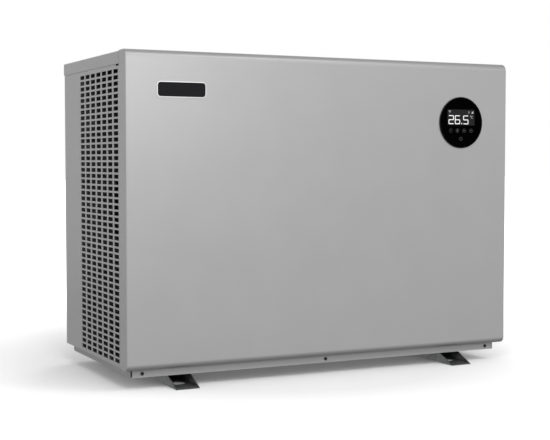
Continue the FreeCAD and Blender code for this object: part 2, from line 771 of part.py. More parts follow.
def display_parts():
    centre = ("at.display_x", "size.display_height")
    inner = "size.display_radius - size.bezel_width"
    ring = cylinder("bezel_ring", "Y", centre, "size.display_radius",
                    "at.front - size.bezel_proud", "at.front")
    hole = cylinder("bezel_hole", "Y", centre, inner, "at.front - size.bezel_proud - 1", "at.front + 1")
    node(cut("bezel_cut", ring, hole), "display_bezel")
    glass_rear = "at.front - 0.2"
    glass = cylinder("glass_disc", "Y", centre, inner, "at.front - size.bezel_proud + 0.6", glass_rear)
    node(glass, "display_glass")
    cup_radius = "size.display_radius - 5 - size.fit_gap"
    cup = cylinder("cup_outer", "Y", centre, cup_radius, glass_rear, "at.front + size.housing_depth")
    cup_hollow = cylinder("cup_hollow", "Y", centre, f"{cup_radius} - 2", "at.front - 1",
                          "at.front + size.housing_depth - 2")
    node(cut("cup_cut", cup, cup_hollow), "display_housing")
    board = cylinder("board_disc", "Y", centre, f"{cup_radius} - 2", "at.front + 12", "at.front + 13.6")
    node(board, "display_board")
    half = "39.75"
    lcd = box("lcd_block", (f"at.display_x - {half}", "at.front + 4", "size.display_height - 6.2"),
              (f"at.display_x + {half}", "at.front + 12", "size.display_height + 31.9"))
    node(lcd, "lcd_module")


# ---- air side ---------------------------------------------------------------

def orifice_plate():
    body = new_body("orifice_sheet")
    plate = new_sketch(body, "orifice_plan", "XZ_Plane", "-(at.orifice + size.sheet)")
    rectangle(plate, ("-at.panel_inner + size.fit_gap", "at.floor"),
              ("at.bulkhead - size.fit_gap", "at.panel_top - 2"))
    circle(plate, ("at.fan_x", "at.fan_z"), "at.collar_radius")
    pad(body, "orifice_flat", plate, "size.sheet")
    collar = new_sketch(body, "collar_plan", "XZ_Plane", "-(at.orifice + size.collar_length)")
    circle(collar, ("at.fan_x", "at.fan_z"), "at.collar_radius")
    circle(collar, ("at.fan_x", "at.fan_z"), "at.collar_radius + size.sheet")
    pad(body, "collar", collar, "size.collar_length")
    trim = box("orifice_trim", ("-at.side", "at.orifice - 1", "at.floor - 1"),
               ("-at.side + 28", "at.orifice + 4", "size.panel_bottom + size.sheet + 0.2"))
    return node(cut("orifice_trimmed", body, trim), "orifice_plate")


def blade_section(body, name, radius, chord, pitch):
    """Flat blade section across the blade's radius, pitched about it."""
    item = new_sketch(body, name, "YZ_Plane", radius)
    half = f"{chord} / 2"
    thick = "size.blade_thick / 2"
    corners = []
    for along_chord, across in ((-1, -1), (1, -1), (1, 1), (-1, 1)):
        first = f"({along_chord} * {half} * sin({pitch} deg) + {across} * {thick} * cos({pitch} deg))"
        second = f"({along_chord} * {half} * cos({pitch} deg) - {across} * {thick} * sin({pitch} deg))"
        corners.append((first, second))
    outline(item, corners)
    return item


def fan_impeller():
    body = new_body("fan_blades")
    root = blade_section(body, "blade_root", "size.hub_radius - 12", "86", "26")
    tip = blade_section(body, "blade_tip", "size.fan_radius + 14", "190", "11")
    blade = body.newObject("PartDesign::AdditiveLoft", "blade")
    blade.Profile = root
    blade.Sections = [tip]
    blade.Ruled = True
    doc.recompute()
    ring = body.newObject("PartDesign::PolarPattern", "blade_ring")
    ring.Originals = [blade]
    ring.Axis = ([f for f in body.Origin.OriginFeatures if f.Role == "Y_Axis"][0], [""])
    ring.setExpression("Occurrences", "size.blade_count")
    body.Tip = ring
    bind_base(body, ("at.fan_x", "(at.hub_front + at.hub_rear) / 2", "at.fan_z"))
    centre = ("at.fan_x", "at.fan_z")
    disc = cylinder("blade_trim", "Y", centre, "size.fan_radius", "at.hub_front - 20", "at.hub_rear + 20")
    blades = doc.addObject("Part::Common", "blades_trimmed")
    blades.Base = body
    blades.Tool = disc
    hub = cylinder("fan_hub", "Y", centre, "size.hub_radius", "at.hub_front", "at.hub_rear")
    cup = cylinder("hub_cup", "Y", centre, "size.hub_radius - 4", "at.hub_front - 1", "at.hub_rear - 6")
    boss = cylinder("hub_boss", "Y", centre, "size.shaft_radius + 9", "at.hub_front + 8", "at.hub_rear - 5")
    bore = cylinder("hub_bore", "Y", centre, "size.shaft_radius", "at.hub_front - 20", "at.hub_rear + 20")
    solid = fuse("fan_solid", blades, hub)
    hollow = cut("fan_hollow", solid, cup)
    return node(cut("fan_bored", fuse("fan_bossed", hollow, boss), bore), "fan_impeller")


def fan_motor():
    centre = ("at.fan_x", "at.fan_z")
    casing = cylinder("casing_solid", "Y", centre, "size.motor_radius", "at.motor_front", "at.motor_rear")
    cavity = cylinder("casing_cavity", "Y", centre, "size.motor_radius - size.motor_wall",
                      "at.motor_front + size.motor_wall", "at.motor_rear - size.motor_wall")
    bore = cylinder("casing_bore", "Y", centre, "size.shaft_radius + size.running_gap",
                    "at.motor_front + 2", "at.motor_rear + 1")
    holes = motor_screw_set("motor_screw_hole")
    node(cut("casing_cut", casing, cavity, bore, *holes), "fan_motor_casing")
    stator_ring = cylinder("stator_ring", "Y", centre, "size.motor_radius - size.motor_wall",
                           "at.motor_front + 18", "at.motor_rear - 18")
    stator_hole = cylinder("stator_hole", "Y", centre, "46", "at.motor_front", "at.motor_rear")
    node(cut("stator_cut", stator_ring, stator_hole), "fan_motor_stator")
    shaft = cylinder("shaft_rod", "Y", centre, "size.shaft_radius", "at.motor_front + 3", "at.hub_rear + 10")
    rotor = cylinder("rotor_drum", "Y", centre, "45", "at.motor_front + 20", "at.motor_rear - 20")
    node(fuse("motor_shaft_fused", shaft, rotor), "fan_motor_rotor")
    nut_disc = cylinder("nut_disc", "Y", centre, "size.shaft_radius + 5", "at.hub_rear", "at.hub_rear + 7")
    nut_bore = cylinder("nut_bore", "Y", centre, "size.shaft_radius", "at.hub_rear - 1", "at.hub_rear + 8")
    node(cut("nut_cut", nut_disc, nut_bore), "fan_nut")


def motor_screw_set(name):
    """Four screws from the bracket's front into the casing wall."""
    reach = "(size.motor_radius - 3) * 0.7071"
    items = []
    for across in (-1, 1):
        for rise in (-1, 1):
            centre = (f"at.fan_x + {across} * {reach}", f"at.fan_z + {rise} * {reach}")
            items.append(screw(name, "Y", centre, "at.motor_front - size.sheet * 2", -1, 14, 4, 2))
    return items


def motor_bracket():
    body = new_body("bracket_sheet")
    face = "at.motor_front"
    flat = new_sketch(body, "bracket_plan", "XZ_Plane", f"-({face})")
    rectangle(flat, ("at.fan_x - size.motor_radius - 30", "at.fan_z - size.motor_radius - 20"),
              ("at.fan_x + size.motor_radius + 30", "at.fan_z + size.motor_radius + 20"))
    pad(body, "bracket_flat", flat, "size.sheet * 2")
    for name, side in (("left", -1), ("right", 1)):
        leg = f"at.fan_x + {side} * (size.motor_radius + 22)"
        slab(body, f"bracket_leg_{name}", "XZ_Plane", f"-({face})",
             (f"{leg} - 12", "at.floor"), (f"{leg} + 12", "at.panel_top - 4"), "size.sheet * 2")
        rib = f"{leg} + {side} * 12"
        low = rib if side < 0 else f"{rib} - size.sheet"
        slab(body, f"bracket_rib_{name}", "YZ_Plane", low,
             (f"{face} - 22", "at.floor"), (face, "at.panel_top - 4"), "size.sheet")
    return node(cut("bracket_pierced", body, *motor_screw_set("bracket_hole")), "motor_bracket")


def evaporator():
    low = ("at.fin_left", "at.fin_front", "size.fin_bottom")
    high = ("at.fin_right", "at.fin_front + size.fin_depth", "at.fin_top")
    block = box("fin_block", low, high)
    tools = []
    for column in ("at.tube_front", "at.tube_rear"):
        for row in range(int(number("size.tube_rows"))):
            height = f"at.tube_low + {row} * size.tube_pitch"
            tools.append(cylinder("fin_hole", "X", (column, height), "size.tube_radius",
                                  "at.fin_left - 20", "at.fin_right + 20"))
    holes = group("fin_holes", tools)
    node(cut("fin_cut", block, holes), "evaporator_fins")
    plates = []
    for name, start in (("left", "at.fin_left - 1.5"), ("right", "at.fin_right")):
        plates.append(box(f"tube_plate_{name}", (start, "at.fin_front", "at.floor"),
                          (f"{start} + 1.5", "at.fin_front + size.fin_depth", "at.fin_top")))
    node(cut("tube_plate_cut", group("tube_plate_pair", plates), holes), "evaporator_end_plates")
    item = doc.addObject("Part::Feature", "evaporator_tubes")
    item.Shape = swept(serpentine(), number("size.tube_radius"))
    node(item, "evaporator_tubes")


def serpentine():
    """One tube up the front column and down the rear one, with return bends."""
    rows = int(number("size.tube_rows"))
    bend = number("size.tube_pitch") / 2
    left = number("at.fin_left") - 4
    right = number("at.fin_right") + 4
    outlet = number("at.tube_end")
    front = number("at.tube_front")
    rear = number("at.tube_rear")
    low = number("at.tube_low")
    heights = [low + row * 2 * bend for row in range(rows)]
    edges = []

    def run(start, end, depth, height):
        edges.append(Part.LineSegment(Vector(start, depth, height), Vector(end, depth, height)).toShape())

    def turn(x, side, start, end):
        middle = (start + end) / 2
        crown = middle + Vector(side * (end - start).Length / 2, 0, 0)
        edges.append(Part.Arc(Vector(x, start.y, start.z), Vector(x, 0, 0) + crown,
                              Vector(x, end.y, end.z)).toShape())

    for row, height in enumerate(heights):
        leftward = row % 2 == 0
        first = outlet if row == 0 else (right if leftward else left)
        last = left if leftward else right
        run(first, last, front, height)
        if row < rows - 1:
            turn(last, -1 if leftward else 1, Vector(0, front, height), Vector(0, front, heights[row + 1]))
        else:
            turn(last, 1, Vector(0, front, height), Vector(0, rear, height))
    for row, height in reversed(list(enumerate(heights))):
        rightward = row % 2 == 0
        first = left if rightward else right
        last = outlet if row == 0 else (right if rightward else left)
        run(first, last, rear, height)
        if row > 0:
            turn(last, 1 if rightward else -1, Vector(0, rear, height), Vector(0, rear, heights[row - 1]))
    return Part.Wire(edges)


# ---- compressor -------------------------------------------------------------

def shell_revolution(name, radius, low, high, dome):
    """Upright vessel with rounded ends, turned about its own axis."""
    blank = cylinder(name + "_blank", "Z", ("at.compressor_x", "at.compressor_y"), radius, low, high)
    return round_edges(name, blank, dome, lambda edge: isinstance(edge.Curve, Part.Circle))


def compressor():
    centre = ("at.compressor_x", "at.compressor_y")
    outer = shell_revolution("shell_outer", "size.compressor_radius", "at.compressor_low",
                             "at.compressor_high", "22")
    inner_radius = "size.compressor_radius - size.shell_wall"
    inner = shell_revolution("shell_inner", inner_radius, "at.compressor_low + size.shell_wall",
                             "at.compressor_high - size.shell_wall", "18.5")
    bearing_low = "at.compressor_low + 34"
    bearing_high = "at.compressor_low + 74"
    plate = box("compressor_foot", ("at.compressor_x - 88", "at.compressor_y - 62", "at.compressor_low - 3"),
                ("at.compressor_x + 88", "at.compressor_y + 62", "at.compressor_low"))
    neck = cylinder("compressor_neck", "Z", centre, "20", "at.compressor_low - 1", "at.compressor_low + 1")
    bolts = [cylinder("mount_hole", "Z", spot, "8", "at.compressor_low - 5", "at.compressor_low + 1")
             for spot in mount_spots()]
    vessel = cut("shell_hollow", fuse("shell_solid", outer, plate, neck), inner, *bolts)
    node(vessel, "compressor_shell")
    pump = cylinder("pump_block", "Z", centre, inner_radius, bearing_low, bearing_high)
    pump_bore = cylinder("pump_bore", "Z", centre, "size.crank_radius + size.running_gap",
                         f"{bearing_low} - 1", f"{bearing_high} + 1")
    chamber = cylinder("pump_chamber", "Z", centre, "28", f"{bearing_low} + 10", f"{bearing_high} - 10")
    node(cut("pump_cut", pump, pump_bore, chamber), "compressor_pump")
    stator = cylinder("winding_ring", "Z", centre, inner_radius, f"{bearing_high} + 30",
                      f"{bearing_high} + 120")
    stator_hole = cylinder("winding_hole", "Z", centre, "36", f"{bearing_high} + 29",
                           f"{bearing_high} + 121")
    node(cut("winding_cut", stator, stator_hole), "compressor_stator")
    shaft = cylinder("crankshaft", "Z", centre, "size.crank_radius", f"{bearing_low} - 8",
                     f"{bearing_high} + 130")
    rotor = cylinder("crank_rotor", "Z", centre, "35.2", f"{bearing_high} + 33", f"{bearing_high} + 117")
    piston = cylinder("rolling_piston", "Z", ("at.compressor_x + size.crank_throw", "at.compressor_y"),
                      "22", f"{bearing_low} + 10.5", f"{bearing_high} - 10.5")
    node(fuse("crank_fused", shaft, rotor, piston), "compressor_rotor")


def mount_spots():
    return [("at.compressor_x - 76", "at.compressor_y - 50"), ("at.compressor_x + 76", "at.compressor_y - 50"),
            ("at.compressor_x - 76", "at.compressor_y + 50"), ("at.compressor_x + 76", "at.compressor_y + 50")]


def compressor_mounts():
    grommets = []
    bolts = []
    plate_low = "at.compressor_low - 3"
    for spot in mount_spots():
        lower = cylinder("grommet_lower", "Z", spot, "14", "at.floor", plate_low)
        waist = cylinder("grommet_waist", "Z", spot, "8", plate_low, "at.compressor_low")
        upper = cylinder("grommet_upper", "Z", spot, "12", "at.compressor_low", "at.compressor_low + 6")
        hole = cylinder("grommet_hole", "Z", spot, "3", "at.floor - 1", "at.compressor_low + 7")
        grommets.append(cut("grommet", fuse("grommet_solid", lower, waist, upper), hole))
        bolts.append(screw("mount_bolt", "Z", spot, "at.compressor_low + 6", 1,
                           number("at.compressor_low + 6 - at.floor"), 8, 3))
    node(group("grommet_group", grommets), "compressor_grommets")
    node(group("mount_bolt_group", bolts), "compressor_bolts")


def accumulator():
    centre = ("at.accumulator_x", "at.compressor_y")
    low = "at.compressor_low + 66"
    high = "at.accumulator_high"
    body = cylinder("accumulator_blank", "Z", centre, "size.accumulator_radius", low, high)
    rounded = round_edges("accumulator_round", body, "12", lambda edge: isinstance(edge.Curve, Part.Circle))
    strap = box("accumulator_strap", ("at.accumulator_right - 2", "at.compressor_y - 10", f"{low} + 60"),
                ("at.compressor_x - size.compressor_radius", "at.compressor_y + 10", f"{low} + 64"))
    return node(fuse("accumulator_fused", rounded, strap), "accumulator")


# ---- refrigerant valves and pipes --------------------------------------------

def reversing_valve():
    centre = ("at.valve_y", "at.valve_z")
    start = "at.valve_x - size.valve_length / 2"
    end = "at.valve_x + size.valve_length / 2"
    barrel = cylinder("valve_barrel", "X", centre, "size.valve_radius", start, end)
    bore = cylinder("valve_bore_hole", "X", centre, "size.valve_bore", f"{start} + 3", f"{end} - 3")
    stubs = []
    for offset in valve_ports():
        stubs.append(cylinder("valve_stub", "Z", (f"at.valve_x + {offset}", "at.valve_y"),
                              "size.pipe_radius + 1", f"at.valve_z - size.valve_radius - 6",
                              f"at.valve_z - size.valve_bore - 1"))
    stubs.append(cylinder("valve_top_stub", "Z", ("at.valve_x", "at.valve_y"), "size.pipe_radius + 1",
                          "at.valve_z + size.valve_bore + 1", "at.valve_z + size.valve_radius + 6"))
    node(cut("valve_hollow", fuse("valve_solid", barrel, *stubs), bore), "reversing_valve_body")
    spool_start = f"{start} + 4"
    spool = cylinder("spool_rod", "X", centre, "size.valve_bore - size.running_gap", spool_start,
                     f"{spool_start} + size.spool_length")
    waist = cylinder("spool_waist_tool", "X", centre, "size.valve_bore + 1", f"{spool_start} + 12",
                     f"{spool_start} + size.spool_length - 12")
    waist_core = cylinder("spool_core", "X", centre, "5", f"{spool_start} + 12",
                          f"{spool_start} + size.spool_length - 12")
    node(fuse("spool_whole", cut("spool_lands", spool, waist), waist_core), "reversing_valve_slide")
    pilot = cylinder("pilot_coil", "Z", ("at.valve_x", "at.valve_y - size.valve_radius - 12"), "12",
                     "at.valve_z - 18", "at.valve_z + 18")
    return pilot


def valve_ports():
    return ("-24", "0", "24")


def expansion_valve():
    spot = ("at.bulkhead + 60", "at.valve_y - 80")
    low = "at.compressor_low + 120"
    body = cylinder("expansion_barrel", "Z", spot, "11", low, f"{low} + 40")
    bore = cylinder("expansion_bore", "Z", spot, "2 + size.running_gap", f"{low} + 8", f"{low} + 39")
    node(cut("expansion_cut", body, bore), "expansion_valve_body")
    needle = cylinder("needle_rod", "Z", spot, "2", f"{low} + 8.5", f"{low} + 34")
    node(needle, "expansion_valve_needle")
    coil = cylinder("stepper_coil", "Z", spot, "17", f"{low} + 40", f"{low} + 62")
    return spot, low, coil


def filter_drier():
    spot = ("at.bulkhead + 60", "at.exchanger_y")
    low = "at.compressor_low + 80"
    blank = cylinder("drier_blank", "Z", spot, "15", low, f"{low} + 90")
    rounded = round_edges("drier_round", blank, "6", lambda edge: isinstance(edge.Curve, Part.Circle))
    node(rounded, "filter_drier")
    return spot, low


def refrigerant_pipes(expansion, drier):
    bend = 14
    tube_end = "at.tube_end"
    port_low = "at.valve_z - size.valve_radius - 6"
    port_high = "at.valve_z + size.valve_radius + 6"
    above = "at.valve_z + 60"
    left_port = f"at.valve_x + {valve_ports()[0]}"
    right_port = f"at.valve_x + {valve_ports()[2]}"
    discharge = pipe("discharge_run", [
        ("at.compressor_x", "at.compressor_y", "at.compressor_high"),
        ("at.compressor_x", "at.compressor_y", above),
        ("at.valve_x", "at.valve_y", above),
        ("at.valve_x", "at.valve_y", port_high),
    ], bend)
    suction_level = "at.valve_z - 70"
    suction = pipe("suction_run", [
        ("at.valve_x", "at.valve_y", port_low),
        ("at.valve_x", "at.valve_y", suction_level),
        ("at.accumulator_x", "at.valve_y", suction_level),
        ("at.accumulator_x", "at.compressor_y", suction_level),
        ("at.accumulator_x", "at.compressor_y", "at.accumulator_high"),
    ], bend)
    side_level = "at.valve_z - 46"
    top_level = "at.exchanger_high + 42"
    hot_gas = pipe("exchanger_gas_run", [
        (right_port, "at.valve_y", port_low),
        (right_port, "at.valve_y", side_level),
        (right_port, "at.exchanger_y + 92", side_level),
        (right_port, "at.exchanger_y + 92", top_level),
        (right_port, "at.exchanger_y", top_level),
        ("at.exchanger_x", "at.exchanger_y", top_level),
        ("at.exchanger_x", "at.exchanger_y", "at.exchanger_high + 12"),
    ], 11)
    cold_gas = pipe("evaporator_gas_run", [
        (left_port, "at.valve_y", port_low),
        (left_port, "at.valve_y", side_level),
        (left_port, "at.tube_rear", side_level),
        ("at.bulkhead + 28", "at.tube_rear", side_level),
        ("at.bulkhead + 28", "at.tube_rear", "at.tube_low"),
        (tube_end, "at.tube_rear", "at.tube_low"),
    ], 7)
    spot, low = drier
    drain_level = "at.exchanger_low + 40"
    to_drier = pipe("liquid_run_inlet", [
        ("at.exchanger_x - size.exchanger_radius", "at.exchanger_y", drain_level),
        (spot[0], spot[1], drain_level),
        (spot[0], spot[1], low),
    ], bend)
    valve_spot, valve_low = expansion
    to_valve = pipe("liquid_run_middle", [
        (spot[0], spot[1], f"{low} + 90"),
        (spot[0], spot[1], f"{low} + 125"),
        (spot[0], f"{valve_spot[1]} - 28", f"{low} + 125"),
        (spot[0], f"{valve_spot[1]} - 28", f"{valve_low} + 24"),
        (spot[0], f"{valve_spot[1]} - 11", f"{valve_low} + 24"),
    ], 8)
    to_fins = pipe("liquid_run_outlet", [
        (valve_spot[0], valve_spot[1], valve_low),
        (valve_spot[0], valve_spot[1], "at.tube_low"),
        ("at.bulkhead + 25", valve_spot[1], "at.tube_low"),
        ("at.bulkhead + 25", "at.tube_front", "at.tube_low"),
        (tube_end, "at.tube_front", "at.tube_low"),
    ], 8)
    node(discharge, "discharge_pipe")
    node(suction, "suction_pipe")
    node(group("gas_runs", [hot_gas, cold_gas]), "gas_pipes")
    node(group("liquid_runs", [to_drier, to_valve, to_fins]), "liquid_pipes")


# ---- water side ---------------------------------------------------------------

def water_exchanger():
    centre = ("at.exchanger_x", "at.exchanger_y")
    outer = cylinder("vessel_outer", "Z", centre, "size.exchanger_radius", "at.exchanger_low",
                     "at.exchanger_high")
    inner = cylinder("vessel_inner", "Z", centre, "size.exchanger_radius - size.exchanger_wall",
                     "at.exchanger_low + size.exchanger_wall", "at.exchanger_high + 1")
    stand = cylinder("vessel_stand", "Z", centre, "size.exchanger_radius - 12", "at.floor",
                     "at.exchanger_low")
    ports = [cylinder("vessel_port", "X", ("at.exchanger_y", height), "size.water_outer_radius",
                      "at.exchanger_x", "at.water_outer")
             for height in ("size.water_low", "at.water_high")]
    liquid = cylinder("vessel_liquid_port", "X", ("at.exchanger_y", "at.exchanger_low + 40"),
                      "size.pipe_radius", "at.exchanger_x - size.exchanger_radius - 1", "at.exchanger_x")
    vessel = cut("vessel_cut", fuse("vessel_solid", outer, stand), inner, *ports, liquid)
    cap = cylinder("cap_disc", "Z", centre, "size.exchanger_radius + 6", "at.exchanger_high",
                        "at.exchanger_high + 12")
    node(group("vessel_and_cap", [vessel, cap]), "exchanger_shell")
    item = doc.addObject("Part::Feature", "exchanger_coil")
    item.Shape = coil_shape()
    item.Placement = Placement(Vector(number("at.exchanger_x"), number("at.exchanger_y"),
                                      number("at.exchanger_low") + 30), Rotation())
    node(item, "exchanger_coil")


def coil_shape():
    radius = number("size.exchanger_radius") - 24
    tube = number("size.pipe_radius")
    rise = number("size.exchanger_height") - 70
    path = Part.Wire(Part.makeHelix(tube * 2.6, rise, radius))
    section = Part.Wire([Part.makeCircle(tube, Vector(radius, 0, 0), Vector(0, 1, 0))])
    return path.makePipeShell([section], True, True)


def water_stub(label, height):
    centre = ("at.exchanger_y", height)
    outer = cylinder(label + "_outer", "X", centre, "size.water_outer_radius", "at.water_inner",
                     "at.water_outer")
    bore = cylinder(label + "_bore", "X", centre, "size.water_bore", "at.water_inner - 1",
                    "at.water_outer + 1")
    socket = cylinder(label + "_socket", "X", centre, "size.water_socket",
                      "at.water_outer - size.socket_depth", "at.water_outer + 1")
    flange = cylinder(label + "_flange", "X", centre, "size.water_outer_radius + 8", "at.panel_face",
                      "at.panel_face + 4")
    tools = [bore, socket]
    if label == "water_inlet":
        tools.append(cylinder("switch_hole", "Z", ("at.switch_x", "at.exchanger_y"), "8",
                              height, f"{height} + size.water_outer_radius + 1"))
    vessel = cylinder(label + "_scribe", "Z", ("at.exchanger_x", "at.exchanger_y"),
                      "size.exchanger_radius - size.exchanger_wall", f"{height} - 40", f"{height} + 40")
    return node(cut(label + "_cut", fuse(label + "_solid", outer, flange), vessel, *tools), label)


def union_nut(label, height):
    centre = ("at.exchanger_y", height)
    outer = cylinder(label + "_outer", "X", centre, "size.water_outer_radius + 11",
                     "at.water_outer - 34", "at.water_outer - 4")
    inner = cylinder(label + "_inner", "X", centre, "size.water_outer_radius", "at.water_outer - 35",
                     "at.water_outer")
    grips = []
    for index in range(8):
        angle = index * 45
        across = f"at.exchanger_y + (size.water_outer_radius + 11.5) * cos({angle} deg)"
        rise = f"{height} + (size.water_outer_radius + 11.5) * sin({angle} deg)"
        grips.append(cylinder(f"{label}_grip", "X", (across, rise), "4", "at.water_outer - 35",
                              "at.water_outer"))
    return cut(label + "_cut", outer, inner, *grips)


def flow_switch():
    height = "size.water_low"
    crown = f"{height} + size.water_outer_radius"
    pivot = f"{crown} + 9"
    spot = ("at.switch_x", "at.exchanger_y")
    stem = cylinder("switch_stem", "Z", spot, "8", f"{height} + size.water_bore + 1", f"{crown} + 1")
    case = box("switch_case", ("at.switch_x - 18", "at.exchanger_y - 15", crown),
               ("at.switch_x + 18", "at.exchanger_y + 15", f"{crown} + 30"))
    tunnel = cylinder("switch_tunnel", "Z", spot, "7", height, f"{crown} + 3")
    room = box("switch_room", ("at.switch_x - 12", "at.exchanger_y - 9", f"{crown} + 2"),
               ("at.switch_x + 12", "at.exchanger_y + 9", f"{crown} + 24"))
    pin_hole = cylinder("switch_pin_hole", "Y", ("at.switch_x", pivot), "2 + size.running_gap",
                        "at.exchanger_y - 12.4", "at.exchanger_y + 12.4")
    node(cut("switch_cut", fuse("switch_solid", stem, case), tunnel, room, pin_hole), "flow_switch_body")
    pin = cylinder("paddle_pin", "Y", ("at.switch_x", pivot), "2", "at.exchanger_y - 12",
                   "at.exchanger_y + 12")
    arm = box("paddle_arm", ("at.switch_x - 0.75", "at.exchanger_y - 4", f"{height} - 8"),
              ("at.switch_x + 0.75", "at.exchanger_y + 4", f"{pivot} + 3"))
    blade = box("paddle_blade", ("at.switch_x - 0.75", "at.exchanger_y - 10", f"{height} - 12"),
                ("at.switch_x + 0.75", "at.exchanger_y + 10", f"{height} + 8"))
    node(fuse("paddle_fused", pin, arm, blade), "flow_paddle")


# ---- electrical ---------------------------------------------------------------

def control_box():
    low = ("at.box_left", "at.box_front", "at.box_low")
    high = ("at.box_right", "at.box_rear", "at.box_high")
    outer = box("box_outer", low, high)
    inner = box("box_inner", tuple(f"{side} + size.sheet" for side in low),
                ("at.box_right - size.sheet", "at.box_rear - size.sheet", "at.box_high + 1"))
    entry = cylinder("box_entry", "X", ("at.gland_y", "at.gland_z"), "size.gland_bore + 2",
                     "at.box_right - 4", "at.box_right + 1")
    case = cut("box_cut", outer, inner, entry)
    lid = box("box_lid_sheet", ("at.box_left", "at.box_front", "at.box_high"),
              ("at.box_right", "at.box_rear", "at.box_high + size.sheet"))
    node(group("case_and_lid", [case, lid]), "control_box")
    board = box("board_sheet", ("at.box_left + 20", "at.box_rear - 14", "at.box_low + 10"),
                ("at.box_right - 20", "at.box_rear - 12.4", "at.box_high - 10"))
    parts = []
    for index in range(5):
        left = f"at.box_left + {40 + index * 50}"
        depth = 18 + 8 * (index % 3)
        parts.append(box("board_component", (left, f"at.box_rear - 14 - {depth}", "at.box_low + 40"),
                         (f"{left} + 30", "at.box_rear - 14", "at.box_low + 90")))
    node(fuse("board_fused", board, *parts), "control_board")
    terminal = box("terminal_bar", ("at.box_right - 110", "at.box_front + 20", "at.box_low + size.sheet"),
                   ("at.box_right - 20", "at.box_front + 48", "at.box_low + 22"))
    ways = [box("terminal_way", (f"at.box_right - {102 - index * 15}", "at.box_front + 26", "at.box_low + 14"),
                (f"at.box_right - {93 - index * 15}", "at.box_front + 42", "at.box_low + 23"))
            for index in range(5)]
    node(cut("terminal_cut", terminal, *ways), "terminal_block")
    base = box("sink_base", ("at.box_left + 60", "at.box_rear", "at.box_low + 20"),
               ("at.box_left + 220", "at.box_rear + 6", "at.box_high - 30"))
    fins = [box("sink_fin", (f"at.box_left + {61 + index * 12}", "at.box_rear + 5", "at.box_low + 20"),
                (f"at.box_left + {63 + index * 12}", "at.box_rear + 34", "at.box_high - 30"))
            for index in range(14)]
    node(fuse("sink_fused", base, *fins), "heat_sink")


def cable_gland():
    centre = ("at.gland_y", "at.gland_z")
    dome = cylinder("gland_dome", "X", centre, "size.gland_radius", "at.panel_face", "at.panel_face + 16")
    thread = cylinder("gland_thread", "X", centre, "size.gland_bore + 2", "at.panel_inner - 8",
                      "at.panel_face")
    nut = cylinder("gland_nut", "X", centre, "size.gland_radius", "at.panel_inner - 6", "at.panel_inner")
    bore = cylinder("gland_hole_through", "X", centre, "size.gland_bore", "at.panel_inner - 9",
                    "at.panel_face + 17")
    return node(cut("gland_cut", fuse("gland_solid", dome, thread, nut), bore), "cable_gland")


# ---- build ---------------------------------------------------------------------

def build_cabinet():
    foot("foot_left", -1)
    foot("foot_right", 1)
    base_tray()
    tray_screws()
    drain_spigot()
    front_panel()
    left_side_panel()
    right_side_panel()
    rear_guard()
    rear_panel()
    top_cover()
    bulkhead()
    posts = [corner_post("post_left", -1), corner_post("post_right", 1)]
    node(group("post_pair", posts), "corner_posts")
    pierce_rear()
    panel_screws()
    name_plate()
    display_parts()


def build_air_side():
    orifice_plate()
    fan_impeller()
    fan_motor()
    motor_bracket()
    node(group("motor_screw_group", motor_screw_set("motor_screw")), "motor_screws")
    evaporator()


def build_technical_side():
    compressor()
    compressor_mounts()
    accumulator()
    pilot = reversing_valve()
    spot, low, stepper = expansion_valve()
    node(group("coil_pair", [pilot, stepper]), "valve_coils")
    refrigerant_pipes((spot, low), filter_drier())
    water_exchanger()
    water_stub("water_inlet", "size.water_low")
    water_stub("water_outlet", "at.water_high")
    nuts = [union_nut("nut_inlet", "size.water_low"), union_nut("nut_outlet", "at.water_high")]
    node(group("nut_pair", nuts), "union_nuts")
    flow_switch()
    control_box()
    cable_gland()


def check_document():
    doc.recompute()
    failed = [item.Label for item in doc.Objects
              if "Invalid" in item.State or "Error" in item.State]
    if failed:
        raise RuntimeError(f"failed objects: {failed}")
    for label, item in nodes.items():
        if item.Shape.isNull() or not item.Shape.isValid() or not item.Shape.Solids:
            raise RuntimeError(f"{label} has no valid solid")


def write_parts():
    os.makedirs("parts", exist_ok=True)
    for label, item in nodes.items():
        item.Shape.exportStep(f"parts/{label}.step")
        print(label, len(item.Shape.Solids), round(item.Shape.Volume))
    print(len(nodes), "nodes")


fill_sheet()
build_cabinet()
build_air_side()
build_technical_side()
check_document()
write_parts()
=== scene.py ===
import math

import bmesh
import bpy
from bpy.props import FloatProperty, FloatVectorProperty, PointerProperty
from mathutils import Euler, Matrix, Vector


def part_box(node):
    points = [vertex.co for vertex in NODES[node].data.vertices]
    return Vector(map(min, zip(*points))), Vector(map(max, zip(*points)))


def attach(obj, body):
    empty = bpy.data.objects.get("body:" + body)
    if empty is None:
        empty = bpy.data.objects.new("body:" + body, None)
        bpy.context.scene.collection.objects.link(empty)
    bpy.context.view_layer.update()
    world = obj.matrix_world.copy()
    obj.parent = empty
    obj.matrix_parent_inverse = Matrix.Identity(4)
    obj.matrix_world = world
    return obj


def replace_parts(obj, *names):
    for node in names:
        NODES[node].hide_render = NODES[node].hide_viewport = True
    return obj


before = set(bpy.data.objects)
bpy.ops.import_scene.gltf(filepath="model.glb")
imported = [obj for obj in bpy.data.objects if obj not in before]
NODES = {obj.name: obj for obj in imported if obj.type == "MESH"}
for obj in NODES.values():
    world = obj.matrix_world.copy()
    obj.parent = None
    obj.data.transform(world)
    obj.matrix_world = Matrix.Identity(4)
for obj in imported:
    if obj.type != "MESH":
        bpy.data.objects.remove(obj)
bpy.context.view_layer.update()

bl_info = {
    "name": "Pool Heat Pump Finish",
    "version": (1, 0, 0),
    "blender": (4, 5, 0),
    "location": "View3D > Sidebar > Heat Pump",
    "description": "Finishes, display, fins, screws and stage for the pool heat pump",
    "category": "Object",
}

FRONT_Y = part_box("front_panel")[0].y
MM = 0.001


# ---- sizes and colours --------------------------------------------------------

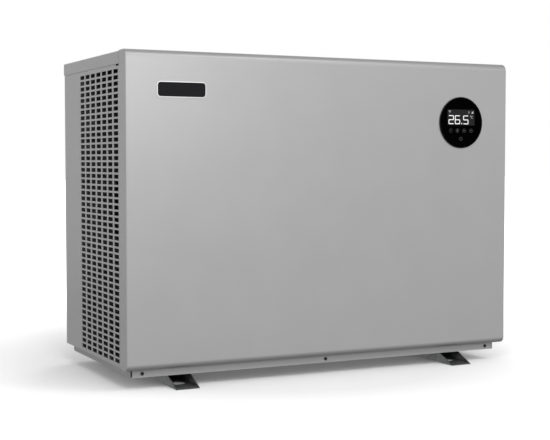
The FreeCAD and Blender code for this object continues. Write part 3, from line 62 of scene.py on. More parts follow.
class HeatPumpColours(bpy.types.PropertyGroup):
    """Colours of the finishes."""
    powder_coat: FloatVectorProperty(
        name="Powder coat", description="Silver grey of the cabinet",
        subtype="COLOR", size=3, min=0, max=1, default=(0.344, 0.344, 0.344))
    galvanised: FloatVectorProperty(
        name="Galvanised sheet", description="Feet and inner sheets",
        subtype="COLOR", size=3, min=0, max=1, default=(0.30, 0.305, 0.31))
    black_plastic: FloatVectorProperty(
        name="Black plastic", description="Unions, gland and housings",
        subtype="COLOR", size=3, min=0, max=1, default=(0.018, 0.018, 0.019))
    copper: FloatVectorProperty(
        name="Copper", description="Refrigerant pipes",
        subtype="COLOR", size=3, min=0, max=1, default=(0.62, 0.27, 0.14))
    lit_digit: FloatVectorProperty(
        name="Lit digit", description="Digits on the display",
        subtype="COLOR", size=3, min=0, max=1, default=(0.6, 0.6, 0.6))


class HeatPumpSizes(bpy.types.PropertyGroup):
    """Sizes of the pieces added to the frame."""
    fin_spacing: FloatProperty(
        name="Fin spacing", description="Distance between evaporator fins",
        default=2.6 * MM, min=1 * MM, max=10 * MM, unit="LENGTH", subtype="DISTANCE")
    fin_thickness: FloatProperty(
        name="Fin thickness", description="Evaporator fin",
        default=0.2 * MM, min=0.05 * MM, max=1 * MM, unit="LENGTH", subtype="DISTANCE")
    digit_height: FloatProperty(
        name="Digit height", description="Display digits",
        default=21.5 * MM, min=5 * MM, max=40 * MM, unit="LENGTH", subtype="DISTANCE")
    stroke: FloatProperty(
        name="Digit stroke", description="Width of one lit segment",
        default=2.0 * MM, min=0.5 * MM, max=8 * MM, unit="LENGTH", subtype="DISTANCE")
    screw_head: FloatProperty(
        name="Screw head", description="Radius of the pan heads",
        default=4 * MM, min=1 * MM, max=10 * MM, unit="LENGTH", subtype="DISTANCE")


# ---- materials ------------------------------------------------------------------

def new_material(name, colour, roughness, metallic=0.0):
    made = bpy.data.materials.new(name)
    made.use_nodes = True
    shader = made.node_tree.nodes["Principled BSDF"]
    shader.inputs["Base Color"].default_value = (*colour, 1)
    shader.inputs["Roughness"].default_value = roughness
    shader.inputs["Metallic"].default_value = metallic
    return made


def add_node(made, kind, **values):
    item = made.node_tree.nodes.new(kind)
    for name, value in values.items():
        item.inputs[name.replace("_", " ")].default_value = value
    return item


def join(made, source, socket, target, into):
    made.node_tree.links.new(source.outputs[socket], target.inputs[into])


def object_pattern(made, kind, stretch=(1, 1, 1), **values):
    """A texture node on the piece's own coordinates, stretched along its axes."""
    place = add_node(made, "ShaderNodeTexCoord")
    mapping = add_node(made, "ShaderNodeMapping", Scale=stretch)
    texture = add_node(made, kind, **values)
    join(made, place, "Object", mapping, "Vector")
    join(made, mapping, "Vector", texture, "Vector")
    return texture


def vary_colour(made, texture, socket, low, high, span=(0.3, 0.7)):
    """Ramp the base colour between two shades."""
    ramp = made.node_tree.nodes.new("ShaderNodeValToRGB")
    ends = ramp.color_ramp.elements
    ends[0].position, ends[1].position = span
    ends[0].color, ends[1].color = (*low, 1), (*high, 1)
    shader = made.node_tree.nodes["Principled BSDF"]
    join(made, texture, socket, ramp, "Fac")
    join(made, ramp, "Color", shader, "Base Color")
    return ramp


def vary_roughness(made, texture, socket, low, high):
    span = add_node(made, "ShaderNodeMapRange")
    span.inputs["To Min"].default_value = low
    span.inputs["To Max"].default_value = high
    join(made, texture, socket, span, "Value")
    join(made, span, "Result", made.node_tree.nodes["Principled BSDF"], "Roughness")


def add_bump(made, texture, socket, strength, distance):
    bump = add_node(made, "ShaderNodeBump", Strength=strength, Distance=distance)
    join(made, texture, socket, bump, "Height")
    join(made, bump, "Normal", made.node_tree.nodes["Principled BSDF"], "Normal")


def shade(colour, factor):
    return tuple(min(1.0, value * factor) for value in colour)


def powder_coat(name, colour, roughness=0.34, metallic=0.5):
    """Satin silver powder coat: part metallic, fine orange peel, faint cloudiness."""
    made = new_material(name, colour, roughness, metallic)
    cloud = object_pattern(made, "ShaderNodeTexNoise", Scale=9.0, Detail=3.0)
    vary_colour(made, cloud, "Fac", shade(colour, 0.985), shade(colour, 1.015))
    peel = object_pattern(made, "ShaderNodeTexNoise", Scale=900.0, Detail=2.0)
    add_bump(made, peel, "Fac", 0.1, 0.00006)
    vary_roughness(made, cloud, "Fac", roughness - 0.03, roughness + 0.03)
    return made


def galvanised(colours, name="galvanised_sheet", factor=1.0):
    """Zinc-coated sheet with soft crystal spangle and rolling streaks."""
    base = shade(colours.galvanised, factor)
    made = new_material(name, base, 0.45, 0.85)
    spangle = object_pattern(made, "ShaderNodeTexVoronoi", Scale=95.0, Randomness=1.0)
    vary_colour(made, spangle, "Color", shade(base, 0.82), shade(base, 1.18), (0.2, 0.8))
    streak = object_pattern(made, "ShaderNodeTexNoise", (30, 30, 300), Scale=2.0, Detail=4.0)
    vary_roughness(made, streak, "Fac", 0.34, 0.56)
    add_bump(made, streak, "Fac", 0.05, 0.0002)
    return made


def moulded(name, colour, roughness=0.5, grain=700.0):
    """Injection-moulded plastic with a fine spark-eroded grain."""
    made = new_material(name, colour, roughness)
    texture = object_pattern(made, "ShaderNodeTexNoise", Scale=grain, Detail=3.0)
    add_bump(made, texture, "Fac", 0.2, 0.0001)
    cloud = object_pattern(made, "ShaderNodeTexNoise", Scale=25.0, Detail=2.0)
    vary_colour(made, cloud, "Fac", shade(colour, 0.9), shade(colour, 1.12))
    return made


def brushed(name, colour, roughness, stretch, metallic=1.0):
    """Drawn or machined metal: fine lines along one direction."""
    made = new_material(name, colour, roughness, metallic)
    lines = object_pattern(made, "ShaderNodeTexNoise", stretch, Scale=3.0, Detail=5.0)
    vary_colour(made, lines, "Fac", shade(colour, 0.85), shade(colour, 1.15))
    vary_roughness(made, lines, "Fac", roughness - 0.08, roughness + 0.1)
    add_bump(made, lines, "Fac", 0.08, 0.00015)
    return made


def tarnished_copper(colours):
    """Drawn copper, warm and slightly oxidised in patches."""
    made = new_material("drawn_copper", colours.copper, 0.32, 1.0)
    patch = object_pattern(made, "ShaderNodeTexNoise", Scale=38.0, Detail=6.0)
    vary_colour(made, patch, "Fac", shade(colours.copper, 0.55), shade(colours.copper, 1.1), (0.35, 0.65))
    vary_roughness(made, patch, "Fac", 0.24, 0.5)
    return made


def gloss_black(name, colour=(0.0008, 0.0008, 0.0009), roughness=0.12, gloss=0.05):
    """Anti-glare coated black glass or acrylic with faint wipe marks."""
    made = new_material(name, colour, roughness)
    made.node_tree.nodes["Principled BSDF"].inputs["Specular IOR Level"].default_value = gloss
    wipe = object_pattern(made, "ShaderNodeTexNoise", (8, 8, 26), Scale=6.0, Detail=4.0)
    vary_roughness(made, wipe, "Fac", roughness * 0.75, roughness * 1.35)
    return made


def circuit_board():
    """Green solder mask with paler track pattern."""
    made = new_material("circuit_board", (0.012, 0.09, 0.035), 0.4)
    tracks = object_pattern(made, "ShaderNodeTexBrick", Scale=160.0)
    tracks.inputs["Color1"].default_value = (0.01, 0.08, 0.03, 1)
    tracks.inputs["Color2"].default_value = (0.014, 0.1, 0.04, 1)
    tracks.inputs["Mortar"].default_value = (0.05, 0.2, 0.08, 1)
    join(made, tracks, "Color", made.node_tree.nodes["Principled BSDF"], "Base Color")
    return made


def glowing(name, colour, strength):
    """Backlit symbol with a slight mottling from the light guide."""
    made = new_material(name, colour, 0.4)
    shader = made.node_tree.nodes["Principled BSDF"]
    shader.inputs["Emission Strength"].default_value = strength
    mottle = object_pattern(made, "ShaderNodeTexNoise", Scale=260.0, Detail=2.0)
    ramp = vary_colour(made, mottle, "Fac", shade(colour, 0.92), colour)
    join(made, ramp, "Color", shader, "Emission Color")
    return made


def coat_nodes(made, *names):
    """Give CAD nodes a finish."""
    for name in names:
        slots = NODES[name].data.materials
        slots.clear()
        slots.append(made)


# ---- modelling helpers ----------------------------------------------------------

def deselect_all():
    if bpy.context.mode != "OBJECT":
        bpy.ops.object.mode_set(mode="OBJECT")
    bpy.ops.object.select_all(action="DESELECT")


def settle(piece, name, body, finish):
    """Name a finished piece, apply its place, and say what it rides on and is made of."""
    deselect_all()
    piece.select_set(True)
    bpy.context.view_layer.objects.active = piece
    bpy.ops.object.transform_apply(location=True, rotation=True, scale=True)
    piece.name = name
    if finish is not None:
        piece.data.materials.clear()
        piece.data.materials.append(finish)
    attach(piece, body)
    return piece


def apply_modifiers(piece):
    bpy.context.view_layer.objects.active = piece
    for modifier in list(piece.modifiers):
        bpy.ops.object.modifier_apply(modifier=modifier.name)


def merge(pieces):
    """Join pieces into the first one."""
    deselect_all()
    for piece in pieces:
        piece.select_set(True)
    bpy.context.view_layer.objects.active = pieces[0]
    bpy.ops.object.join()
    return bpy.context.view_layer.objects.active


def block(centre, size, bevel=0.0, segments=3):
    """A box with rounded edges."""
    deselect_all()
    bpy.ops.mesh.primitive_cube_add(size=1, location=centre)
    made = bpy.context.active_object
    made.scale = size
    bpy.ops.object.transform_apply(location=False, rotation=False, scale=True)
    if bevel > 0:
        edge = made.modifiers.new("rounding", "BEVEL")
        edge.width, edge.segments, edge.limit_method = bevel, segments, "NONE"
        apply_modifiers(made)
    return made


def disc(centre, radius, depth, axis="Y", sides=64):
    """A short cylinder along one axis."""
    turn = {"X": (0, math.pi / 2, 0), "Y": (math.pi / 2, 0, 0), "Z": (0, 0, 0)}[axis]
    deselect_all()
    bpy.ops.mesh.primitive_cylinder_add(vertices=sides, radius=radius, depth=depth,
                                        location=centre, rotation=turn)
    return bpy.context.active_object


def copy_piece(source):
    twin = source.copy()
    twin.data = source.data.copy()
    bpy.context.collection.objects.link(twin)
    return twin


def islands(node):
    """Lowest and highest corner of each separate solid in a CAD node."""
    mesh = bmesh.new()
    mesh.from_mesh(NODES[node].data)
    bmesh.ops.remove_doubles(mesh, verts=mesh.verts, dist=1e-5)
    left = set(mesh.verts)
    found = []
    while left:
        grow = [left.pop()]
        group = set(grow)
        while grow:
            for edge in grow.pop().link_edges:
                for vertex in edge.verts:
                    if vertex not in group:
                        group.add(vertex)
                        grow.append(vertex)
        left -= group
        points = [vertex.co.copy() for vertex in group]
        low = Vector(min(point[axis] for point in points) for axis in range(3))
        high = Vector(max(point[axis] for point in points) for axis in range(3))
        found.append((low, high))
    mesh.free()
    return sorted(found, key=lambda pair: tuple(round(value, 4) for value in pair[0]))


# ---- display ----------------------------------------------------------------------

# Each digit's path, as shares of its width and height.
DIGIT_PATHS = {
    "2": ((0, 1), (1, 1), (1, 0.5), (0, 0.5), (0, 0), (1, 0)),
    "5": ((1, 1), (0, 1), (0, 0.5), (1, 0.5), (1, 0), (0, 0)),
    "6": ((1, 1), (0, 1), (0, 0), (1, 0), (1, 0.5), (0, 0.5)),
}
BEND_REACH = 0.95
BEND_STEPS = 5
DIGIT_WIDTH = 15.4 * MM
DIGIT_PLACES = (("2", 0.0), ("6", 18.4 * MM), ("5", 43.0 * MM))
POINT_PLACE, POINT_RADIUS = 38.6 * MM, 1.4 * MM
WINDOW_LIFT, PRINT_LIFT, DIGIT_LIFT = 0.06 * MM, 0.1 * MM, 0.25 * MM
SYMBOL_THICK = 0.2 * MM
KEY_PLACES = (-30.3 * MM, -10.3 * MM, 9.6 * MM, 30.1 * MM)
KEY_DROP, POWER_DROP = 19.5 * MM, 39.2 * MM
KEY_RING, KEY_SIGN, POWER_RING = 4.6 * MM, 2.6 * MM, 4.0 * MM


def stroke_line(points, width, y, thickness=0.25 * MM, closed=False):
    """A flat round-ended line through points (x, z), standing on the plane y."""
    curve = bpy.data.curves.new("stroke", "CURVE")
    curve.dimensions = "3D"
    spline = curve.splines.new("POLY")
    spline.points.add(len(points) - 1)
    for point, (x, z) in zip(spline.points, points):
        point.co = (x, 0, z, 1)
    spline.use_cyclic_u = closed
    curve.bevel_depth = width / 2
    curve.bevel_resolution = 3
    curve.use_fill_caps = True
    made = bpy.data.objects.new("stroke", curve)
    bpy.context.collection.objects.link(made)
    deselect_all()
    made.select_set(True)
    bpy.context.view_layer.objects.active = made
    bpy.ops.object.convert(target="MESH")
    made = bpy.context.active_object
    made.scale.y = thickness / width
    bpy.ops.object.transform_apply(location=False, rotation=False, scale=True)
    made.location.y = y
    bpy.ops.object.transform_apply(location=True, rotation=False, scale=False)
    return made


def arc_points(centre, radius, start, end, steps=10):
    spread = [math.radians(start + (end - start) * step / steps) for step in range(steps + 1)]
    return [(centre[0] + radius * math.cos(a), centre[1] + radius * math.sin(a)) for a in spread]


def digit(shape, x, z, width, height, stroke, y):
    """One seven-segment digit, drawn as one line with round bends."""
    inner_w, inner_h = width - stroke, height - stroke
    x, z = x + stroke / 2, z + stroke / 2
    bend = stroke * BEND_REACH
    corners = [Vector((x + u * inner_w, z + v * inner_h, 0)) for u, v in DIGIT_PATHS[shape]]
    points = [corners[0].xy]
    for before, corner, after in zip(corners, corners[1:], corners[2:]):
        start = corner + (before - corner).normalized() * bend
        end = corner + (after - corner).normalized() * bend
        for step in range(BEND_STEPS + 1):
            t = step / BEND_STEPS
            spot = start * (1 - t) ** 2 + corner * 2 * t * (1 - t) + end * t * t
            points.append(spot.xy)
    points.append(corners[-1].xy)
    return stroke_line(points, stroke, y)


class HEATPUMP_OT_display(bpy.types.Operator):
    """Finish the round touch display: window, digits, symbols and keys"""
    bl_idname = "heatpump.display"
    bl_label = "Display"

    def execute(self, context):
        sizes = context.scene.heatpump_sizes
        colours = context.scene.heatpump_colours
        low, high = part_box("display_glass")
        centre = (low + high) / 2
        face = low.y
        coat_nodes(gloss_black("display_glass_black", gloss=0.0), "display_glass")
        coat_nodes(gloss_black("bezel_black", (0.004, 0.004, 0.0043), 0.3, 0.15), "display_bezel")
        lcd_low, lcd_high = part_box("lcd_module")
        window_size = (lcd_high.x - lcd_low.x, 0.16 * MM, lcd_high.z - lcd_low.z)
        window = block(((lcd_low.x + lcd_high.x) / 2, face - WINDOW_LIFT, (lcd_low.z + lcd_high.z) / 2),
                       window_size, 0.05 * MM, 1)
        window_black = gloss_black("window_charcoal", (0.014, 0.014, 0.015), 0.2)
        settle(window, "display_window", "cabinet", window_black)
        plane = face - DIGIT_LIFT
        self.digits(lcd_low, plane, sizes, colours)
        self.symbols(lcd_low, lcd_high, plane)
        self.keys(centre, face - PRINT_LIFT)
        return {"FINISHED"}

    def digits(self, corner, plane, sizes, colours):
        height = sizes.digit_height
        base = corner.z + 2.4 * MM
        left = corner.x + 3.0 * MM
        pieces = []
        for shape, offset in DIGIT_PLACES:
            pieces.append(digit(shape, left + offset, base, DIGIT_WIDTH, height, sizes.stroke, plane))
        dot = disc((left + POINT_PLACE, plane, base + POINT_RADIUS), POINT_RADIUS, 0.25 * MM, sides=24)
        made = merge(pieces + [dot])
        settle(made, "display_digits", "cabinet", glowing("digit_glow", colours.lit_digit, 0.68))

    def symbols(self, low, high, plane):
        """Signal fan, two status marks and the degree mark, all generic."""
        dim = glowing("symbol_glow", (0.26, 0.26, 0.26), 0.8)
        bright = glowing("status_glow", (0.6, 0.6, 0.6), 0.9)
        top = high.z - 6.4 * MM
        spot = (low.x + 6.6 * MM, top - 1.5 * MM)
        thick = SYMBOL_THICK
        fan = [stroke_line(arc_points(spot, radius * MM, 45, 135), 0.9 * MM, plane, thick)
               for radius in (1.6, 3.2, 4.8)]
        fan.append(disc((spot[0], plane, spot[1]), 0.7 * MM, thick, sides=16))
        ring = (high.x - 11.2 * MM, low.z + 22.6 * MM)
        degree = [stroke_line(arc_points(ring, 1.1 * MM, 0, 340, 14), 0.6 * MM, plane, thick)]
        letter = (high.x - 6.8 * MM, low.z + 19.8 * MM)
        degree.append(stroke_line(arc_points(letter, 2.9 * MM, 50, 310, 16), 0.9 * MM, plane, thick))
        mark = (high.x - 16.6 * MM, top)
        degree.append(stroke_line(arc_points(mark, 2.0 * MM, 0, 340, 14), 0.8 * MM, plane, thick))
        settle(merge(fan + degree), "display_symbols", "cabinet", dim)
        x, half = high.x - 6.6 * MM, 2 * MM
        wedge = [(x - half, top - half), (x + half, top - half), (x + half, top + 2.4 * MM)]
        status = stroke_line(wedge, 1.5 * MM, plane, thick, True)
        settle(status, "display_status", "cabinet", bright)

    def keys(self, centre, plane):
        """Four ringed touch keys and a power key, faintly lit."""
        grey = glowing("key_print", (0.05, 0.05, 0.051), 0.4)
        thin, thick, half = 1.1 * MM, 0.15 * MM, KEY_SIGN
        z = centre.z - KEY_DROP
        spots = [centre.x + place for place in KEY_PLACES]
        strokes = [stroke_line(arc_points((x, z), KEY_RING, 0, 345, 23), 0.5 * MM, plane, thick)
                   for x in spots]
        strokes.append(stroke_line([(spots[0] - half / 2, z), (spots[0] + half / 2, z)], thin, plane, thick))
        for angle in (30, 90, 150):
            run = [(spots[1] + side * half * math.cos(math.radians(angle)),
                    z + side * half * math.sin(math.radians(angle))) for side in (-1, 1)]
            strokes.append(stroke_line(run, thin, plane, thick))
        for x, rise in ((spots[2], 1), (spots[3], -1)):
            run = [(x - half, z - rise * half / 2), (x, z + rise * half / 2), (x + half, z - rise * half / 2)]
            strokes.append(stroke_line(run, thin * 1.2, plane, thick))
        x, z = centre.x, centre.z - POWER_DROP
        strokes.append(stroke_line(arc_points((x, z), POWER_RING, 120, 420, 24), thin * 0.7, plane, thick))
        strokes.append(stroke_line([(x, z + 1 * MM), (x, z + 5 * MM)], thin * 0.7, plane, thick))
        settle(merge(strokes), "display_keys", "cabinet", grey)


# ---- name plate ---------------------------------------------------------------------

PLATE_CORNER = 9 * MM
PLATE_EDGE, PLATE_EDGE_RISE = 0.35 * MM, 0.2 * MM
PLATE_RIM = 1.5 * MM
PLATE_STEP, PLATE_SINK = 0.3 * MM, 0.5 * MM


class HEATPUMP_OT_name_plate(bpy.types.Operator):
    """Blank name plate: dark enamel field inside a bright raised rim"""
    bl_idname = "heatpump.name_plate"
    bl_label = "Name plate"

    def execute(self, context):
        low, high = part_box("name_plate")
        centre = (low + high) / 2
        size = high - low
        rim = block(centre, (size.x, size.y * 0.98, size.z), 0.0)
        deselect_all()
        rim.select_set(True)
        context.view_layer.objects.active = rim
        bpy.ops.object.mode_set(mode="EDIT")
        mesh = bmesh.from_edit_mesh(rim.data)
        for edge in mesh.edges:
            run = edge.verts[1].co - edge.verts[0].co
            edge.select = abs(run.normalized().y) > 0.9
        bmesh.update_edit_mesh(rim.data)
        bpy.ops.mesh.bevel(offset=PLATE_CORNER, segments=10, affect="EDGES")
        bpy.ops.mesh.select_all(action="DESELECT")
        mesh = bmesh.from_edit_mesh(rim.data)
        for face in mesh.faces:
            face.select = face.normal.y < -0.9
        bmesh.update_edit_mesh(rim.data)
        bpy.ops.mesh.inset(thickness=PLATE_EDGE, depth=PLATE_EDGE_RISE)
        bpy.ops.mesh.inset(thickness=PLATE_RIM, depth=0)
        bpy.ops.mesh.inset(thickness=PLATE_STEP, depth=-PLATE_SINK)
        bpy.ops.object.mode_set(mode="OBJECT")
        silver = brushed("plate_silver", (0.62, 0.62, 0.63), 0.3, (1, 40, 400))
        dark = moulded("plate_enamel", (0.005, 0.005, 0.006), 0.4, 300.0)
        dark.node_tree.nodes["Principled BSDF"].inputs["Specular IOR Level"].default_value = 0.1
        for finish in (silver, dark):
            rim.data.materials.append(finish)
        for face in rim.data.polygons:
            if face.select:
                face.material_index = 1
        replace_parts(settle(rim, "name_plate_blank", "cabinet", None), "name_plate")
        return {"FINISHED"}


# ---- screws -----------------------------------------------------------------------------

HEAD_HEIGHT, HEAD_SEAT = 2.1 * MM, 2.2 * MM
SHANK_RADIUS = 2 * MM


def pan_head(radius, height):
    """Pan-head screw with a cross recess, its face towards -Y, standing on y = 0."""
    head = disc((0, -height / 2, 0), radius, height, "Y", 32)
    bpy.ops.object.transform_apply(location=True, rotation=True, scale=True)
    bpy.ops.object.mode_set(mode="EDIT")
    mesh = bmesh.from_edit_mesh(head.data)
    for edge in mesh.edges:
        edge.select = all(vertex.co.y < -height * 0.9 for vertex in edge.verts)
    bmesh.update_edit_mesh(head.data)
    bpy.ops.mesh.bevel(offset=height * 0.55, segments=4, affect="EDGES")
    bpy.ops.object.mode_set(mode="OBJECT")
    for size in ((radius * 0.95, height, radius * 0.2), (radius * 0.2, height, radius * 0.95)):
        cutter = block((0, -height * 0.85, 0), size, radius * 0.04, 1)
        recess = head.modifiers.new("recess", "BOOLEAN")
        recess.operation, recess.object, recess.solver = "DIFFERENCE", cutter, "EXACT"
        deselect_all()
        head.select_set(True)
        apply_modifiers(head)
        bpy.data.objects.remove(cutter)
    return head


def place_heads(node, radius, name, finish, outward):
    """One detailed screw at each CAD screw. outward is -1 for heads facing -Y, 1 for +Y."""
    pattern = pan_head(radius, HEAD_HEIGHT)
    heads = []
    for low, high in islands(node):
        centre = (low + high) / 2
        face = low.y + HEAD_SEAT if outward < 0 else high.y - HEAD_SEAT
        head = copy_piece(pattern)
        head.rotation_euler = Euler((0, 0, 0 if outward < 0 else math.pi))
        head.location = (centre.x, face, centre.z)
        shank_depth = (high.y - low.y) - HEAD_SEAT
        shank_y = face - outward * shank_depth / 2
        shank = disc((centre.x, shank_y, centre.z), SHANK_RADIUS, shank_depth, "Y", 16)
        heads += [head, shank]
    bpy.data.objects.remove(pattern)
    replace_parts(settle(merge(heads), name, "cabinet", finish), node)


class HEATPUMP_OT_screws(bpy.types.Operator):
    """Cross-recessed screws in the tray's lip and across the rear"""
    bl_idname = "heatpump.screws"
    bl_label = "Screws"

    def execute(self, context):
        radius = context.scene.heatpump_sizes.screw_head
        black = brushed("blackened_steel", (0.02, 0.02, 0.021), 0.4, (40, 40, 40), 0.6)
        zinc = brushed("zinc_plate", (0.5, 0.5, 0.49), 0.35, (40, 40, 40))
        place_heads("tray_screws", radius, "tray_screw_heads", black, -1)
        place_heads("panel_screws", radius, "rear_screw_heads", zinc, 1)
        coat_nodes(zinc, "motor_screws", "compressor_bolts", "fan_nut")
        return {"FINISHED"}


# ---- evaporator --------------------------------------------------------------------------

FIN_WAVE = 0.5 * MM
FIN_FOLDS = 4


class HEATPUMP_OT_fins(bpy.types.Operator):
    """Stack of thin corrugated fins in place of the solid block"""
    bl_idname = "heatpump.fins"
    bl_label = "Evaporator fins"

    def execute(self, context):
        sizes = context.scene.heatpump_sizes
        low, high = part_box("evaporator_fins")
        size = high - low
        count = int(size.x / sizes.fin_spacing)
        deselect_all()
        start = (low.x + sizes.fin_spacing / 2, (low.y + high.y) / 2, (low.z + high.z) / 2)
        bpy.ops.mesh.primitive_cube_add(size=1, location=start)
        fin = context.active_object
        fin.scale = (sizes.fin_thickness, size.y, size.z)
        bpy.ops.object.transform_apply(location=True, rotation=False, scale=True)
        bpy.ops.object.mode_set(mode="EDIT")
        for fold in range(1, FIN_FOLDS):
            bpy.ops.mesh.select_all(action="SELECT")
            bpy.ops.mesh.bisect(plane_co=(0, low.y + size.y * fold / FIN_FOLDS, 0), plane_no=(0, 1, 0))
        mesh = bmesh.from_edit_mesh(fin.data)
        for vertex in mesh.verts:
            fold = round((vertex.co.y - low.y) / size.y * FIN_FOLDS)
            vertex.co.x += FIN_WAVE * (1 if fold % 2 else -1)
        bmesh.update_edit_mesh(fin.data)
        bpy.ops.object.mode_set(mode="OBJECT")
        row = fin.modifiers.new("row", "ARRAY")
        row.use_relative_offset = False
        row.use_constant_offset = True
        row.constant_offset_displace = (sizes.fin_spacing, 0, 0)
        row.count = count
        apply_modifiers(fin)
        # The fins are far darker than bare aluminium: painted shade inside the cabinet behind the grilles.
        # The heat sink shares this darkened finish.
        finish = brushed("fin_aluminium", (0.16, 0.17, 0.18), 0.4, (20, 20, 200))
        stack = settle(fin, "evaporator_fin_stack", "cabinet", finish)
        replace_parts(stack, "evaporator_fins")
        coat_nodes(finish, "heat_sink")
        return {"FINISHED"}


# ---- finishes on the frame ----------------------------------------------------------------

class HEATPUMP_OT_cabinet(bpy.types.Operator):
    """Powder coat on the cabinet and bare zinc on the feet"""
    bl_idname = "heatpump.cabinet"
    bl_label = "Cabinet finish"

    def execute(self, context):
        colours = context.scene.heatpump_colours
        coat_nodes(powder_coat("powder_coat", colours.powder_coat), "front_panel", "left_side_panel",
                   "right_side_panel", "rear_guard", "rear_panel", "top_cover")
        coat_nodes(powder_coat("tray_coat", shade(colours.powder_coat, 0.9), 0.6, 0.2), "base_tray")
        # The feet get the zinc colour darkened to 0.6 of the sheet's.
        coat_nodes(galvanised(colours, "foot_zinc", 0.6), "foot_left", "foot_right")
        # The inner sheets get the zinc colour darkened to 0.6: painted shade inside the cabinet behind the
        # grilles.
        coat_nodes(galvanised(colours, "inner_zinc_painted_shade", 0.6), "bulkhead", "corner_posts", "orifice_plate",
                   "motor_bracket", "evaporator_end_plates")
        coat_nodes(galvanised(colours), "control_box")
        return {"FINISHED"}


class HEATPUMP_OT_workings(bpy.types.Operator):
    """Finishes of the fan, the compressor and the plumbing"""
    bl_idname = "heatpump.workings"
    bl_label = "Workings"

    def execute(self, context):
        colours = context.scene.heatpump_colours
        black = colours.black_plastic
        coat_nodes(moulded("fan_moulding", shade(black, 1.6), 0.45), "fan_impeller")
        coat_nodes(moulded("black_moulding", black, 0.45), "display_housing", "cable_gland",
                   "terminal_block", "drain_spigot")
        coat_nodes(moulded("union_moulding", shade(black, 1.3), 0.4, 400.0), "water_inlet",
                   "water_outlet", "union_nuts")
        coat_nodes(moulded("grommet_rubber", shade(black, 0.9), 0.8, 500.0), "compressor_grommets")
        coat_nodes(moulded("coil_moulding", (0.02, 0.05, 0.16), 0.4), "valve_coils")
        coat_nodes(moulded("vessel_grey", (0.2, 0.21, 0.22), 0.4), "exchanger_shell")
        coat_nodes(moulded("switch_white", (0.6, 0.6, 0.58), 0.45), "flow_switch_body")
        coat_nodes(moulded("shell_enamel", (0.012, 0.012, 0.012), 0.28, 250.0), "compressor_shell",
                   "accumulator")
        coat_nodes(tarnished_copper(colours), "evaporator_tubes", "discharge_pipe", "suction_pipe",
                   "gas_pipes", "liquid_pipes", "filter_drier")
        coat_nodes(brushed("valve_brass", (0.55, 0.4, 0.16), 0.3, (60, 60, 60)),
                   "reversing_valve_body", "expansion_valve_body")
        coat_nodes(brushed("cast_aluminium", (0.4, 0.4, 0.41), 0.5, (90, 90, 90)), "fan_motor_casing")
        coat_nodes(brushed("winding_copper", (0.45, 0.2, 0.09), 0.45, (20, 300, 300)),
                   "fan_motor_stator", "compressor_stator")
        coat_nodes(brushed("machined_steel", (0.5, 0.5, 0.51), 0.25, (30, 200, 30)), "fan_motor_rotor",
                   "compressor_rotor", "compressor_pump", "reversing_valve_slide",
                   "expansion_valve_needle", "flow_paddle")
        coat_nodes(brushed("titanium", (0.42, 0.4, 0.38), 0.35, (50, 50, 50)), "exchanger_coil")
        coat_nodes(circuit_board(), "display_board", "control_board")
        coat_nodes(gloss_black("lcd_black"), "lcd_module")
        return {"FINISHED"}


# ---- stage ---------------------------------------------------------------------------------

FLOOR_SIZE = 60
# Floor glow from near to far: the low glow near the cabinet is painted shade around its base, and the full
# glow further out keeps the floor white.
FLOOR_GLOW_AND_SHADE = (0.05, 1.0)
FLOOR_SHADE_REACH = (0.4, 1.7)
# Sine of the elevation, and the brightness there.
SKY = ((-0.7, 0.22), (-0.3, 0.76), (-0.06, 0.82), (-0.03, 1.0), (0.36, 1.0), (0.58, 0.39))
# Name, place, aim, size, power, and whether it shows in reflections.
LIGHTS = (
    ("front_fill", (0.0, -3.5, 1.3), (0, 0, 0.4), (2.0, 1.2), 19, True),
    ("overhead_strip", (0.2, -2.4, 3.2), (0, -0.3, 0.2), (3.6, 1.6), 36, True),
    ("key_light", (-1.2, -2.2, 2.2), (-0.3, -0.23, 0.5), (1.0, 1.0), 18, False),
    ("near_left", (-0.7, -1.3, 0.8), (-0.4, -0.23, 0.5), (0.5, 0.5), 2.8, False),
    ("right_fill", (1.8, -2.2, 2.2), (0.2, -0.23, 0.4), (1.2, 1.2), 24, False),
    ("rear_fill", (1.6, 2.8, 2.6), (0, 0.2, 0.4), (1.5, 1.5), 30, False),
)
# Middle, and width and height.
FLAG = ((-2.3, 2.5, 0.2), (2.6, 2.8))
CAMERA_PLACE = (-1.3503, FRONT_Y - 2.4652, 0.5014)
CAMERA_PITCH, CAMERA_YAW = -2.78, -26.08
CAMERA_LENS, CAMERA_SENSOR = 78.9, 36


def sky(scene, levels):
    """White around the horizon, dimmer overhead and below."""
    world = bpy.data.worlds.new("studio")
    scene.world = world
    world.use_nodes = True
    tree = world.node_tree
    place = tree.nodes.new("ShaderNodeTexCoord")
    axes = tree.nodes.new("ShaderNodeSeparateXYZ")
    height = tree.nodes.new("ShaderNodeMapRange")
    height.inputs["From Min"].default_value = -1
    ramp = tree.nodes.new("ShaderNodeValToRGB")
    stops = ramp.color_ramp.elements
    while len(stops) < len(levels):
        stops.new(0.5)
    for stop, (level, value) in zip(stops, levels):
        stop.position = (level + 1) / 2
        stop.color = (value, value, value, 1)
    tree.links.new(place.outputs["Generated"], axes.inputs["Vector"])
    tree.links.new(axes.outputs["Z"], height.inputs["Value"])
    tree.links.new(height.outputs["Result"], ramp.inputs["Fac"])
    tree.links.new(ramp.outputs["Color"], tree.nodes["Background"].inputs["Color"])


def area_light(name, place, aim, size, power, mirrored):
    light = bpy.data.lights.new(name, "AREA")
    light.shape = "RECTANGLE"
    light.size, light.size_y = size
    light.energy = power
    lamp = bpy.data.objects.new(name, light)
    lamp.location = place
    lamp.rotation_euler = (Vector(aim) - Vector(place)).to_track_quat("-Z", "Y").to_euler()
    lamp.visible_glossy = mirrored
    bpy.context.collection.objects.link(lamp)


